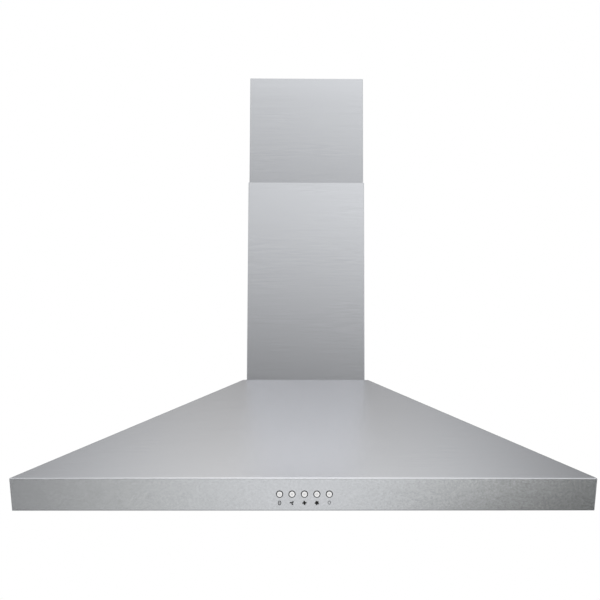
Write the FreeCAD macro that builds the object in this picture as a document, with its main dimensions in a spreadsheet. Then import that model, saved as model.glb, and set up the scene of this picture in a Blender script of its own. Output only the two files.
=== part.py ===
import FreeCAD, Part
import math
import os
import re
import Sketcher

# Wall mount range hood: a pyramid canopy with a leaning front band, a telescopic chimney and an inner blower.
# Frame: X to the right, Y into the wall (wall plane at Y = 0), Z up from the lower edge of the front band.

Vector = FreeCAD.Vector
Rotation = FreeCAD.Rotation

# Each row is a name, a value in millimetres (or a count, an angle in degrees or a share) and what it means.
SIZES = [
    # Canopy
    ("hood_width", 900.0, "canopy width at the fold between slope and band"),
    ("hood_depth", 480.0, "canopy depth from the wall at that fold"),
    ("band_height", 49.0, "height of the front band"),
    ("band_lean", 4.9, "how far the band's lower edge stands in from its upper edge"),
    ("slope_rise", 173.0, "height of the sloping part"),
    ("crown_margin", 6.0, "flat rim of the crown beside and in front of the chimney"),
    ("canopy_sheet", 1.0, "thickness of the canopy's steel sheet"),
    ("band_top_flange", 12.0, "width of the band's inner flange under the slope"),
    ("band_lip", 14.0, "width of the lip turned in under the band"),
    ("cut_overrun", 5.0, "how far a cutting shape runs past what it cuts"),
    ("seat_gap", 0.3, "gap between a piece and its seat where they are not face to face"),
    ("thread_gap", 0.05, "gap round a screw in its thread"),
    ("screw_gap", 0.25, "gap round a screw in a plain hole"),
    # Back panel
    ("keyhole_spacing", 300.0, "distance between the two hanging keyholes"),
    ("keyhole_height", 165.0, "height of the keyholes' entry circles"),
    ("keyhole_radius", 6.0, "radius of a keyhole's entry circle"),
    ("keyhole_slot_width", 6.2, "width of a keyhole's slot"),
    ("keyhole_slot_rise", 12.0, "height of the slot's end above the entry circle's centre"),
    ("safety_spacing", 400.0, "distance between the two lower wall screw holes"),
    ("safety_height", 90.0, "height of the two lower wall screw holes"),
    ("safety_radius", 3.25, "radius of the two lower wall screw holes"),
    # Underside panel
    ("panel_gap", 0.6, "gap between the underside panel's edges and the band"),
    ("filter_side_margin", 38.0, "distance from the canopy's side to a filter opening"),
    ("filter_web", 24.0, "width of the panel's strip between the two filter openings"),
    ("filter_opening_rear", 78.0, "distance from the wall to the openings' rear edges"),
    ("lamp_side_inset", 150.0, "distance of a lamp's middle from the canopy's side"),
    ("lamp_lip_gap", 5.1, "gap between a lamp's ring and the band's lip"),
    ("lamp_filter_gap", 6.0, "gap between a lamp's ring and the filter openings' front edges"),
    ("panel_screw_radius", 2.0, "shank radius of the small screws"),
    ("panel_screw_length", 7.0, "shank length of the small screws"),
    ("screw_head_radius", 3.8, "head radius of the small screws"),
    ("screw_head_height", 1.8, "head height of the small screws, pan head or countersunk"),
    ("panel_screw_inset", 8.0, "distance of the panel screws from the panel's edge"),
    ("panel_screw_side_share", 0.62, "place of the outer panel screws as a share of half the panel"),
    # Buttons
    ("button_count", 5, "number of push buttons"),
    ("button_pitch", 19.0, "distance between two buttons"),
    ("button_height", 25.0, "height of the buttons' centres"),
    ("bezel_radius", 5.5, "outer radius of a button's ring"),
    ("bezel_flange", 0.8, "how far a button's ring stands out of the band"),
    ("bezel_barrel_radius", 4.9, "radius of the ring's barrel in the band"),
    ("bezel_barrel_length", 4.0, "length of the ring's barrel"),
    ("bezel_fit", 0.1, "gap between the ring's barrel and its hole"),
    ("cap_radius", 4.1, "radius of a button's cap"),
    ("cap_fit", 0.08, "gap between cap and ring"),
    ("cap_proud", 2.0, "how far a cap stands out of its ring at rest"),
    ("cap_dome", 0.9, "height of the dome on a cap"),
    ("cap_bulge", 0.35, "how far the dome rises above a cone of its height"),
    ("cap_length", 6.0, "how far a cap reaches behind the band's face"),
    ("button_travel", 2.0, "travel of a button"),
    ("stem_radius", 2.0, "radius of a button's stem"),
    ("stem_length", 8.0, "length of a button's stem"),
    ("stem_fit", 0.1, "gap between stem and switch"),
    ("switch_side_margin", 14.0, "control block beside the outer buttons"),
    ("switch_half_height", 12.0, "half the height of the control block"),
    ("switch_depth", 26.0, "depth of the control block"),
    # Chimney
    ("lower_chimney_width", 210.0, "outer width of the lower chimney"),
    ("lower_chimney_depth", 170.0, "outer depth of the lower chimney"),
    ("lower_chimney_length", 359.0, "height of the lower chimney"),
    ("upper_chimney_length", 345.6, "height of the upper chimney"),
    ("chimney_overlap", 150.0, "how far the upper chimney reaches into the lower one"),
    ("chimney_sheet", 0.8, "thickness of the chimneys' steel sheet"),
    ("telescope_gap", 0.7, "gap between the upper and the lower chimney"),
    ("chimney_return", 12.0, "width of the rear flanges of the chimneys"),
    ("vent_count", 5, "number of vent slots on a side of the upper chimney"),
    ("vent_pitch", 10.0, "distance between two vent slots"),
    ("vent_height", 4.0, "height of a vent slot"),
    ("vent_length", 80.0, "length of a vent slot"),
    ("vent_drop", 45.0, "distance from the chimney's top to the first vent slot"),
    ("bracket_sheet", 1.5, "thickness of the brackets' sheet"),
    ("base_bracket_length", 100.0, "length of a chimney base bracket"),
    ("base_bracket_height", 20.0, "height of a chimney base bracket"),
    ("base_bracket_foot", 13.0, "width of the foot of a chimney base bracket"),
    ("chimney_screw_height", 12.0, "height of the chimney screws above the crown"),
    ("chimney_screw_length", 6.0, "shank length of the chimney screws"),
    ("base_foot_screw_share", 0.3, "place of the foot screws as a share of the bracket's length"),
    ("wall_plate_width", 176.0, "width of the upper bracket's wall plate"),
    ("wall_plate_height", 26.0, "height of the upper bracket"),
    ("wall_plate_drop", 4.0, "distance from the chimney's top to the upper bracket"),
    ("wall_leg", 16.0, "how far the upper bracket's inner legs stand off the wall"),
    ("wall_tab", 26.0, "length of the tabs along the chimney's sides"),
    ("wall_hole_spacing", 120.0, "distance between the upper bracket's wall holes"),
    ("wall_hole_radius", 2.75, "radius of the upper bracket's wall holes"),
    # Outlet
    ("duct_radius", 74.5, "outer radius of the duct collar"),
    ("duct_centre", 85.0, "distance from the wall to the duct's centre"),
    ("duct_wall", 1.0, "wall of the duct collar"),
    ("collar_height", 48.0, "height of the duct collar above its flange"),
    ("outlet_flange", 164.0, "side of the square outlet flanges"),
    ("flange_sheet", 1.2, "thickness of the outlet flanges"),
    ("flange_screw_share", 0.88, "place of the flange screws as a share of half the flange"),
    ("flap_height", 27.0, "height of the flap pin above the collar's flange"),
    ("flap_pin_radius", 1.5, "radius of the flap pin"),
    ("flap_pin_fit", 0.05, "gap between the flap pin and a knuckle"),
    ("pin_seat_fit", 0.1, "gap between the flap pin and its holes in the collar"),
    ("knuckle_radius", 2.8, "outer radius of a flap's knuckle"),
    ("knuckle_length", 18.0, "length of a flap's knuckle"),
    ("knuckle_outer_start", 42.0, "distance from the middle to the outer knuckle"),
    ("knuckle_inner_start", 10.0, "distance from the middle to the inner knuckle"),
    ("flap_radius", 71.5, "radius of the two half round flaps"),
    ("flap_sheet", 1.2, "thickness of a flap"),
    ("flap_root_gap", 0.5, "gap between a flap's straight edge and the other flap's knuckles"),
    ("flap_stop_width", 3.0, "width of the stop ring under the flaps"),
    ("flap_stop_height", 2.0, "height of the stop ring under the flaps"),
    ("gland_y", 20.0, "distance of the cable gland from the wall"),
    ("gland_bore", 4.5, "radius of the cable gland's bore"),
    ("gland_barrel", 7.5, "radius of the cable gland's barrel"),
    ("gland_nut", 10.5, "radius across the corners of the cable gland's nut"),
    ("gland_nut_height", 6.0, "height of the cable gland's nut"),
    ("gland_dome_height", 11.0, "height of the cable gland's domed cap"),
    # Blower
    ("scroll_radius", 76.0, "outer radius of the blower housing"),
    ("scroll_y", 125.0, "distance from the wall to the housing's centre"),
    ("scroll_z", 102.0, "height of the housing's centre"),
    ("scroll_width", 108.0, "width of the blower housing"),
    ("scroll_sheet", 1.0, "thickness of the blower housing"),
    ("throat_depth", 92.0, "depth of the housing's upward throat"),
    ("throat_top", 190.0, "height of the throat's upper edge"),
    ("inlet_radius", 46.0, "radius of the two air inlets"),
    ("inlet_flange", 9.0, "width of an inlet ring's flange"),
    ("inlet_lip", 5.0, "depth of an inlet ring's lip"),
    ("inlet_sheet", 1.2, "thickness of an inlet ring"),
    ("wheel_offset_y", 7.0, "how far the wheel's axis lies in front of the housing's centre"),
    ("wheel_offset_z", 6.0, "how far the wheel's axis lies above the housing's centre"),
    ("wheel_radius", 56.0, "outer radius of the blower wheel"),
    ("wheel_width", 88.0, "width of the blower wheel"),
    ("wheel_disc", 2.0, "thickness of the wheel's middle disc"),
    ("blade_count", 36, "number of blades"),
    ("blade_depth", 11.0, "radial depth of a blade"),
    ("blade_sheet", 0.9, "thickness of a blade"),
    ("blade_sweep", 14.0, "angle that a blade sweeps round the axis"),
    ("blade_bow", 2.4, "how far a blade bulges"),
    ("blade_tip_gap", 1.0, "how far the blades' tips stay inside the wheel's rings"),
    ("wheel_ring", 3.0, "width of the rings at the wheel's ends"),
    ("wheel_hub_radius", 12.0, "radius of the wheel's hub"),
    ("wheel_hub_length", 22.0, "length of the wheel's hub"),
    ("shaft_radius", 4.0, "radius of the motor shaft"),
    ("shaft_fit", 0.05, "gap between shaft and motor bearing"),
    ("shaft_depth", 30.0, "how far the shaft reaches into the motor"),
    ("motor_radius", 38.0, "radius of the motor"),
    ("motor_length", 58.0, "length of the motor"),
    ("motor_stand_off", 7.0, "gap between blower housing and motor"),
    ("motor_edge", 5.0, "rounding of the motor's edges"),
    ("motor_boss", 12.0, "radius of the bearing boss on the motor"),
    ("arm_ring", 4.0, "width of the motor bracket's ring"),
    ("arm_offset", 15.0, "distance of the motor bracket's ring from the motor's end"),
    ("arm_width", 12.0, "width of the motor bracket's arms"),
    ("arm_reach", 60.0, "radius at which the arms meet the housing"),
    ("arm_count", 3, "number of arms of the motor bracket"),
    # Electrical pieces
    ("capacitor_radius", 15.0, "radius of the motor capacitor"),
    ("capacitor_length", 60.0, "length of the motor capacitor"),
    ("terminal_width", 6.3, "width of a flat terminal"),
    ("terminal_height", 9.0, "length of a flat terminal"),
    ("terminal_sheet", 0.8, "thickness of a flat terminal"),
    ("terminal_spacing", 12.0, "distance between the two terminals"),
    ("capacitor_x", 240.0, "distance of the capacitor from the middle"),
    ("capacitor_z", 80.0, "height of the capacitor"),
    ("box_width", 90.0, "width of the junction box"),
    ("box_height", 44.0, "height of the junction box"),
    ("box_depth", 34.0, "depth of the junction box"),
    ("box_wall", 2.0, "wall of the junction box"),
    ("box_x", 250.0, "distance of the junction box's middle from the middle of the hood"),
    ("box_z", 50.0, "height of the junction box's lower side"),
    ("box_hole", 8.0, "radius of the cable holes in the junction box"),
    ("box_boss", 4.5, "radius of the screw bosses in the junction box"),
    ("cover_sheet", 1.6, "thickness of the junction box's cover"),
    ("driver_length", 110.0, "length of the lamp driver"),
    ("driver_depth", 34.0, "depth of the lamp driver"),
    ("driver_height", 22.0, "height of the lamp driver"),
    ("driver_lamp_gap", 85.0, "distance from the lamp driver's end to the right lamp's middle"),
    ("driver_inset", 36.0, "distance from the canopy's front fold to the lamp driver"),
    # Lamps
    ("lamp_flange_cover", 3.0, "how far a lamp's ring covers the panel round its hole"),
    ("lamp_flange", 1.6, "thickness of a lamp's ring below the panel"),
    ("lamp_fit", 0.3, "gap between a lamp's barrel and the panel's hole"),
    ("lamp_barrel_height", 6.0, "height of a lamp's barrel above its ring"),
    ("lamp_window_radius", 22.5, "radius of the lit window"),
    ("lens_lip", 1.5, "how far the ring's lip reaches under the lens"),
    ("lamp_barrel_wall", 3.55, "wall of a lamp's barrel round its lens"),
    ("lens_fit", 0.15, "gap round a lamp's lens"),
    ("lens_seat", 0.6, "thickness of the lip under the lens"),
    ("lens_thickness", 2.0, "thickness of a lamp's lens"),
    ("heat_sink_height", 15.0, "height of a lamp's heat sink"),
    ("heat_sink_fin_count", 4, "number of cooling fins of a lamp"),
    ("heat_sink_core", 20.0, "core radius of a lamp's heat sink"),
    ("heat_sink_fin", 1.8, "thickness of a cooling fin"),
    # Filters
    ("filter_gap", 2.0, "gap between a filter and its opening"),
    ("filter_height", 10.0, "thickness of a filter"),
    ("filter_drop", 2.0, "how far a filter reaches below the panel's upper face"),
    ("filter_sheet", 0.8, "thickness of the filter frame's sheet"),
    ("filter_rim", 14.0, "width of the filter frame's flanges"),
    ("filter_front_rim", 50.0, "width of the filter frame's front flange"),
    ("tab_width", 30.0, "width of a rear tab"),
    ("tab_length", 8.0, "how far a rear tab reaches over the panel"),
    ("tab_sheet", 1.0, "thickness of a rear tab"),
    ("tab_place_share", 0.3, "place of a rear tab as a share of the filter's width"),
    ("baffle_count", 12, "number of lower baffles"),
    ("baffle_width", 21.0, "width of a baffle"),
    ("baffle_sheet", 0.6, "thickness of a baffle"),
    ("baffle_height", 3.4, "height of a baffle's sides"),
    ("baffle_rail", 6.0, "width of the rails that carry the baffles"),
    ("baffle_gap", 0.3, "gap between the baffles and the frame"),
    ("catch_width", 18.0, "width of the catch plate"),
    ("catch_thickness", 2.0, "thickness of the catch plate"),
    ("catch_lift", 0.4, "gap between the catch's nose and the panel"),
    ("catch_reach", 3.5, "how far the nose reaches over the panel"),
    ("catch_length", 42.0, "length of the catch plate"),
    ("nose_chamfer_share", 0.35, "how much of the plate's thickness each side of the nose is rounded away"),
    ("catch_travel", 6.0, "travel of the catch"),
    ("catch_fit", 0.05, "gap between the catch and its guides"),
    ("knob_width", 14.0, "width of the catch's finger knob"),
    ("knob_depth", 8.0, "depth of the finger knob"),
    ("knob_drop", 2.5, "how far the finger knob stands out below the filter"),
    ("knob_setback", 20.0, "distance of the knob from the nose's tip"),
    ("guide_length", 8.0, "length of the catch's inner guide"),
    ("guide_wall", 2.0, "wall of the catch's inner guide"),
]

ALIASES = {row[0] for row in SIZES}

doc = FreeCAD.newDocument("range_hood")
sheet = doc.addObject("Spreadsheet::Sheet", "sizes")
nodes = []


def fill_sheet():
    """Write each named size into the sheet, with its name as the cell's alias."""
    for row, (alias, value, note) in enumerate(SIZES, 1):
        sheet.set("A%d" % row, alias)
        sheet.set("B%d" % row, str(value))
        sheet.setAlias("B%d" % row, alias)
        sheet.set("C%d" % row, note)
    doc.recompute()


def size(expression):
    """The value of an expression in the sheet's names."""
    return float(sheet.evalExpression(expression))


def bound(expression):
    """The same expression as an object of the document needs it."""
    return re.sub(r"[a-z]\w*", lambda m: "sizes." + m[0] if m[0] in ALIASES else m[0], str(expression))


def bind(item, **expressions):
    """Tie properties of an object to the sheet; two underscores stand for a dot in a property's path."""
    for path, expression in expressions.items():
        item.setExpression(path.replace("__", "."), bound(expression))
    return item


def place(item, x, y, z):
    """Tie an object's place to the sheet."""
    return bind(item, Placement__Base__x=x, Placement__Base__y=y, Placement__Base__z=z)


def node(item, label):
    """Name a finished sub-part, which is then written to a file of that name."""
    item.Label = label
    nodes.append(item)
    return item


# Directions of an upright primitive after turning it.
TURNS = {
    "+Z": Rotation(),
    "-Z": Rotation(Vector(1, 0, 0), 180),
    "+X": Rotation(Vector(0, 1, 0), 90),
    "-X": Rotation(Vector(0, 1, 0), -90),
    "+Y": Rotation(Vector(1, 0, 0), -90),
    "-Y": Rotation(Vector(1, 0, 0), 90),
}


def box(x, y, z, along_x, along_y, along_z):
    """A block with its low corner at x, y, z."""
    item = doc.addObject("Part::Box", "block")
    bind(item, Length=along_x, Width=along_y, Height=along_z)
    return place(item, x, y, z)


def rod(direction, x, y, z, radius, length):
    """A cylinder that starts at x, y, z and runs along a direction."""
    item = doc.addObject("Part::Cylinder", "rod")
    item.Placement = FreeCAD.Placement(Vector(), TURNS[direction])
    bind(item, Radius=radius, Height=length)
    return place(item, x, y, z)


def fuse(parts):
    """Several pieces joined into one."""
    item = doc.addObject("Part::MultiFuse", "joined")
    item.Shapes = parts
    item.Refine = True
    return item


def cut(base, tools):
    """A piece with the tools' shapes taken away."""
    item = doc.addObject("Part::Cut", "trimmed")
    item.Base = base
    item.Tool = tools[0] if len(tools) == 1 else fuse(tools)
    return item


def group(parts):
    """Separate solids that share one sub-part."""
    item = doc.addObject("Part::Compound", "group")
    item.Links = parts
    return item


def new_body(name):
    return doc.addObject("PartDesign::Body", name)


def sketch_on(body, role, lift="0"):
    """A sketch on one of the body's origin planes, lifted along the plane's normal."""
    sketch = body.newObject("Sketcher::SketchObject", "sketch")
    plane = next(item for item in body.Origin.OriginFeatures if item.Role == role)
    sketch.AttachmentSupport = [(plane, "")]
    sketch.MapMode = "FlatFace"
    bind(sketch, AttachmentOffset__Base__z=lift)
    return sketch


def hold_point(sketch, geometry, end, x, y):
    """Tie one end of a sketch line or arc to two expressions."""
    for kind, expression in (("DistanceX", x), ("DistanceY", y)):
        name = "%s_%d_%d" % (kind, geometry, end)
        index = sketch.addConstraint(Sketcher.Constraint(kind, geometry, end, size(expression)))
        sketch.renameConstraint(index, name)
        sketch.setExpression("Constraints." + name, bound(expression))


def outline(sketch, points, bulges=None):
    """A closed outline through points given as pairs of expressions.

    A bulge gives the rise of an arc, to the right of the way round, after the point of that number.
    """
    bulges = bulges or {}
    first = sketch.GeometryCount
    count = len(points)
    places = [Vector(size(x), size(y), 0) for x, y in points]
    ends = []
    for i in range(count):
        start, end = places[i], places[(i + 1) % count]
        if i in bulges:
            chord = end - start
            rise = size(bulges[i])
            middle = (start + end) * 0.5 + Vector(chord.y, -chord.x, 0).normalize() * rise
            sketch.addGeometry(Part.Arc(start, middle, end), False)
            ends.append((1, 2) if rise > 0 else (2, 1))
        else:
            sketch.addGeometry(Part.LineSegment(start, end), False)
            ends.append((1, 2))
    for i in range(count):
        after = (i + 1) % count
        joined = Sketcher.Constraint("Coincident", first + i, ends[i][1], first + after, ends[after][0])
        sketch.addConstraint(joined)
    for i, (x, y) in enumerate(points):
        hold_point(sketch, first + i, ends[i][0], x, y)
    return sketch


def rectangle(sketch, x_low, y_low, x_high, y_high):
    return outline(sketch, [(x_low, y_low), (x_high, y_low), (x_high, y_high), (x_low, y_high)])


def ring(sketch, x, y, radius):
    """A circle with its centre and radius tied to the sheet."""
    index = sketch.GeometryCount
    centre = Vector(size(x), size(y), 0)
    sketch.addGeometry(Part.Circle(centre, Vector(0, 0, 1), size(radius)), False)
    hold_point(sketch, index, 3, x, y)
    name = "Radius_%d" % index
    constraint = sketch.addConstraint(Sketcher.Constraint("Radius", index, size(radius)))
    sketch.renameConstraint(constraint, name)
    sketch.setExpression("Constraints." + name, bound(radius))
    return sketch


def pad(body, sketch, length, backwards=False, both=False):
    """Material from a sketch, along its normal, against it, or half to each side."""
    item = body.newObject("PartDesign::Pad", "pad")
    item.Profile = sketch
    item.Reversed = backwards
    item.Midplane = both
    return bind(item, Length=length)


def pocket(body, sketch, depth, backwards=False, both=False):
    """Material taken away from a sketch; it cuts against the sketch's normal unless turned round."""
    item = body.newObject("PartDesign::Pocket", "pocket")
    item.Profile = sketch
    item.Reversed = backwards
    item.Midplane = both
    return bind(item, Length=depth)


def revolve(body, sketch):
    """A full turn of a sketch about its own upright axis."""
    item = body.newObject("PartDesign::Revolution", "revolution")
    item.Profile = sketch
    item.ReferenceAxis = (sketch, ["V_Axis"])
    return item


def loft(body, kind, first, second):
    """A smooth body between two sketches, added or taken away."""
    item = body.newObject("PartDesign::" + kind, "loft")
    item.Profile = first
    item.Sections = [second]
    return item


def frustum(body, low_z, high_z, low_half, high_half, low_front, high_front, rear):
    """A block with a flat rear face whose front and sides lean in or out from its lower to its upper end."""
    item = body.newObject("PartDesign::AdditiveWedge", "frustum")
    item.Placement = FreeCAD.Placement(Vector(), Rotation(Vector(1, 0, 0), 90))
    bind(item, Ymin=low_z, Ymax=high_z, Xmin="-(" + low_half + ")", Xmax=low_half,
         X2min="-(" + high_half + ")", X2max=high_half, Zmin=rear, Zmax=low_front, Z2min=rear, Z2max=high_front)
    doc.recompute()
    return item


def facing(shape, x, y, z):
    """The names of the flat faces of a shape that look along a direction."""
    wanted = Vector(x, y, z)
    found = []
    for index, face in enumerate(shape.Faces, 1):
        if face.normalAt(0, 0).getAngle(wanted) < math.radians(1):
            found.append("Face%d" % index)
    return found


def hollow(body, base, open_faces, wall):
    """The walls that are left when a body is emptied from its open faces."""
    doc.recompute()
    item = body.newObject("PartDesign::Thickness", "walls")
    item.Base = (base, open_faces)
    item.Reversed = True
    item.Join = 1
    return bind(item, Value=wall)


def pan_screw(direction, x, y, z, length="panel_screw_length"):
    """A small pan head screw; x, y, z is where its head meets the sheet."""
    opposite = {"+": "-", "-": "+"}[direction[0]] + direction[1]
    shank = rod(direction, x, y, z, "panel_screw_radius", length)
    head = rod(opposite, x, y, z, "screw_head_radius", "screw_head_height")
    return fuse([shank, head])


def countersink(x, y):
    """The cone of a countersunk head, with its wide end level with the lips' lower faces."""
    item = doc.addObject("Part::Cone", "cone")
    bind(item, Radius1="screw_head_radius", Radius2="panel_screw_radius", Height="screw_head_height")
    return place(item, x, y, "0")


def flat_screw(x, y):
    """A countersunk screw through a lip and the underside panel, flush below."""
    return fuse([countersink(x, y), rod("+Z", x, y, "0", "panel_screw_radius", "panel_screw_length")])


# Places that several sub-parts share.
CROWN = "(band_height + slope_rise)"
GLAND_X = "(-outlet_flange / 2 - gland_nut - 2 * seat_gap)"
CROWN_WIDTH = "(lower_chimney_width + 2 * crown_margin)"
CROWN_DEPTH = "(lower_chimney_depth + crown_margin)"
UPPER_FOOT = "(band_height + slope_rise + lower_chimney_length - chimney_overlap)"
UPPER_TOP = "(" + UPPER_FOOT + " + upper_chimney_length)"
FOOT_SCREW_X = "(lower_chimney_width / 2 - chimney_sheet - seat_gap - base_bracket_foot / 2)"
FOOT_SCREW_Y = "(base_bracket_length * base_foot_screw_share)"
WHEEL_Y = "(-scroll_y - wheel_offset_y)"
WHEEL_Z = "(scroll_z + wheel_offset_z)"
PANEL_TOP = "(2 * canopy_sheet)"
LENS_RADIUS = "(lamp_window_radius + lens_lip)"
BARREL_RADIUS = "(" + LENS_RADIUS + " + lens_fit + lamp_barrel_wall)"
LAMP_HOLE = "(" + BARREL_RADIUS + " + lamp_fit)"
LAMP_RING = "(" + LAMP_HOLE + " + lamp_flange_cover)"
LAMP_X = "(hood_width / 2 - lamp_side_inset)"
LAMP_Y = "(-hood_depth + band_lean + band_lip + lamp_lip_gap + " + LAMP_RING + ")"
OPENING_WIDTH = "(hood_width / 2 - filter_side_margin - filter_web / 2)"
OPENING_X = "((hood_width / 2 - filter_side_margin + filter_web / 2) / 2)"
OPENING_DEPTH = "(-filter_opening_rear - " + LAMP_Y + " - " + LAMP_RING + " - lamp_filter_gap)"
NOSE_Y = "(-" + OPENING_DEPTH + " - catch_reach)"


def canopy_skin():
    """Three sloping sheets and the flat crown with the holes for the duct and the cable."""
    body = new_body("pyramid")
    slopes = frustum(body, "band_height", CROWN, "hood_width / 2", CROWN_WIDTH + " / 2",
                     "hood_depth", CROWN_DEPTH, "canopy_sheet")
    open_faces = facing(slopes.Shape, 0, 0, -1) + facing(slopes.Shape, 0, 1, 0)
    hollow(body, slopes, open_faces, "canopy_sheet")
    holes = sketch_on(body, "XY_Plane", CROWN)
    ring(holes, "0", "-duct_centre", "duct_radius - duct_wall")
    ring(holes, GLAND_X, "-gland_y", "gland_barrel + screw_gap")
    for x in ("-outlet_flange / 2 * flange_screw_share", "outlet_flange / 2 * flange_screw_share"):
        for y in ("-outlet_flange / 2 * flange_screw_share", "outlet_flange / 2 * flange_screw_share"):
            ring(holes, x, "-duct_centre + " + y, "panel_screw_radius + screw_gap")
    for x in ("-1", "1"):
        for y in ("-1", "1"):
            ring(holes, FOOT_SCREW_X + " * " + x, FOOT_SCREW_Y + " * " + y + " - lower_chimney_depth / 2",
                 "panel_screw_radius + screw_gap")
    pocket(body, holes, "canopy_sheet + cut_overrun")
    return node(body, "canopy_skin")


def tilted(item, x, along, up="0"):
    """Turn an upright piece square to the leaning band; along is measured inwards, up from the buttons' line."""
    lean = size("90 - atan(band_lean / band_height) / 1 deg")
    item.Placement = FreeCAD.Placement(Vector(), Rotation(Vector(-1, 0, 0), lean))
    item.setExpression("Placement.Rotation.Angle", bound("90 deg - atan(band_lean / band_height)"))
    slope = "atan(band_lean / band_height)"
    face_y = "(-hood_depth + band_lean * (band_height - button_height) / band_height)"
    return place(item, x,
                 face_y + " + (" + along + ") * cos(" + slope + ") - (" + up + ") * sin(" + slope + ")",
                 "button_height + (" + along + ") * sin(" + slope + ") + (" + up + ") * cos(" + slope + ")")


def tilted_rod(x, along, radius, length):
    """A cylinder square to the band's face; along is measured inwards from the face."""
    item = doc.addObject("Part::Cylinder", "rod")
    bind(item, Radius=radius, Height=length)
    return tilted(item, x, along)


def button_places():
    """Where the buttons stand across the hood, left to right."""
    count = int(size("button_count"))
    return ["(%d - (button_count - 1) / 2) * button_pitch" % i for i in range(count)]


def front_band():
    """The band round three sides, leaning in, with an inner flange above and a lip below."""
    body = new_body("band_channel")
    block = frustum(body, "0", "band_height", "hood_width / 2 - band_lean", "hood_width / 2",
                    "hood_depth - band_lean", "hood_depth", "canopy_sheet")
    hollow(body, block, facing(block.Shape, 0, 1, 0), "canopy_sheet")
    upper = sketch_on(body, "XY_Plane", "band_height")
    rectangle(upper, "-hood_width / 2 + band_top_flange", "-hood_depth + band_top_flange",
              "hood_width / 2 - band_top_flange", "cut_overrun")
    pocket(body, upper, "2 * canopy_sheet")
    lower = sketch_on(body, "XY_Plane")
    rectangle(lower, "-hood_width / 2 + band_lean + band_lip", "-hood_depth + band_lean + band_lip",
              "hood_width / 2 - band_lean - band_lip", "cut_overrun")
    for x, y in front_screw_places() + side_screw_places():
        ring(lower, x, y, "panel_screw_radius + screw_gap")
    pocket(body, lower, "2 * canopy_sheet", backwards=True)
    holes = [tilted_rod(x, "-cut_overrun", "bezel_barrel_radius + bezel_fit", "2 * cut_overrun")
             for x in button_places()]
    holes += [countersink(x, y) for x, y in front_screw_places() + side_screw_places()]
    return node(cut(body, holes), "front_band")


def front_screw_places():
    """Screws through the front lip into the underside panel."""
    y = "(-hood_depth + band_lean + panel_screw_inset)"
    reach = "(hood_width / 2 * panel_screw_side_share)"
    return [("-" + reach, y), ("0", y), (reach, y)]


def side_screw_places():
    """Screws through the side lips into the underside panel."""
    x = "(hood_width / 2 - band_lean - panel_screw_inset)"
    reach = "(hood_depth / 2 * panel_screw_side_share)"
    places = []
    for y in ("-hood_depth / 2 - " + reach, "-hood_depth / 2 + " + reach):
        places += [("-" + x, y), (x, y)]
    return places


def rear_screw_places():
    """Screws through the back panel's lip into the underside panel."""
    reach = "(hood_width / 2 * panel_screw_side_share)"
    return [("-" + reach, "-panel_screw_inset"), (reach, "-panel_screw_inset")]


def back_panel():
    """The flat sheet on the wall, with keyholes to hang it, two screw holes and a lip turned forward."""
    body = new_body("back_sheet")
    sheet_outline = sketch_on(body, "XZ_Plane")
    half_low = "(hood_width / 2 - band_lean)"
    outline(sheet_outline, [
        ("-" + half_low, "0"),
        (half_low, "0"),
        ("hood_width / 2", "band_height"),
        (CROWN_WIDTH + " / 2", CROWN),
        ("-" + CROWN_WIDTH + " / 2", CROWN),
        ("-hood_width / 2", "band_height"),
    ])
    pad(body, sheet_outline, "canopy_sheet")
    lip = sketch_on(body, "XY_Plane")
    lip_half = "(hood_width / 2 - band_lean - band_lip - panel_gap)"
    rectangle(lip, "-" + lip_half, "-band_lip", lip_half, "0")
    for x, y in rear_screw_places():
        ring(lip, x, y, "panel_screw_radius + screw_gap")
    pad(body, lip, "canopy_sheet")
    holes = sketch_on(body, "XZ_Plane")
    for sign in ("-", ""):
        ring(holes, sign + "safety_spacing / 2", "safety_height", "safety_radius")
        ring(holes, sign + "keyhole_spacing / 2", "keyhole_height", "keyhole_radius")
    pocket(body, holes, "canopy_sheet + cut_overrun", backwards=True)
    slots = []
    for sign in ("-", ""):
        x = sign + "keyhole_spacing / 2"
        slots.append(box(x + " - keyhole_slot_width / 2", "-cut_overrun", "keyhole_height",
                         "keyhole_slot_width", "2 * cut_overrun", "keyhole_slot_rise"))
        slots.append(rod("+Y", x, "-cut_overrun", "keyhole_height + keyhole_slot_rise",
                         "keyhole_slot_width / 2", "2 * cut_overrun"))
    slots += [countersink(x, y) for x, y in rear_screw_places()]
    return node(cut(body, slots), "back_panel")


def underside_panel():
    """The sheet that closes the canopy from below, with openings for two filters and two lamps."""
    body = new_body("closing_sheet")
    plate = sketch_on(body, "XY_Plane", "canopy_sheet")
    half = "(hood_width / 2 - band_lean - canopy_sheet - panel_gap)"
    rectangle(plate, "-" + half, "-hood_depth + band_lean + canopy_sheet + panel_gap",
              half, "-canopy_sheet - panel_gap")
    pad(body, plate, "canopy_sheet")
    openings = sketch_on(body, "XY_Plane", "canopy_sheet")
    for sign in ("-", ""):
        middle = sign + OPENING_X
        rectangle(openings, middle + " - " + OPENING_WIDTH + " / 2", "-filter_opening_rear - " + OPENING_DEPTH,
                  middle + " + " + OPENING_WIDTH + " / 2", "-filter_opening_rear")
        ring(openings, sign + LAMP_X, LAMP_Y, LAMP_HOLE)
    places = front_screw_places() + side_screw_places() + rear_screw_places()
    for x, y in places:
        ring(openings, x, y, "panel_screw_radius + thread_gap")
    pocket(body, openings, "canopy_sheet + cut_overrun", backwards=True)
    return node(cut(body, [countersink(x, y) for x, y in places]), "underside_panel")


def panel_screws():
    """The countersunk screws that hold the underside panel on its lips."""
    places = front_screw_places() + side_screw_places() + rear_screw_places()
    return node(group([flat_screw(x, y) for x, y in places]), "panel_screws")


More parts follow.
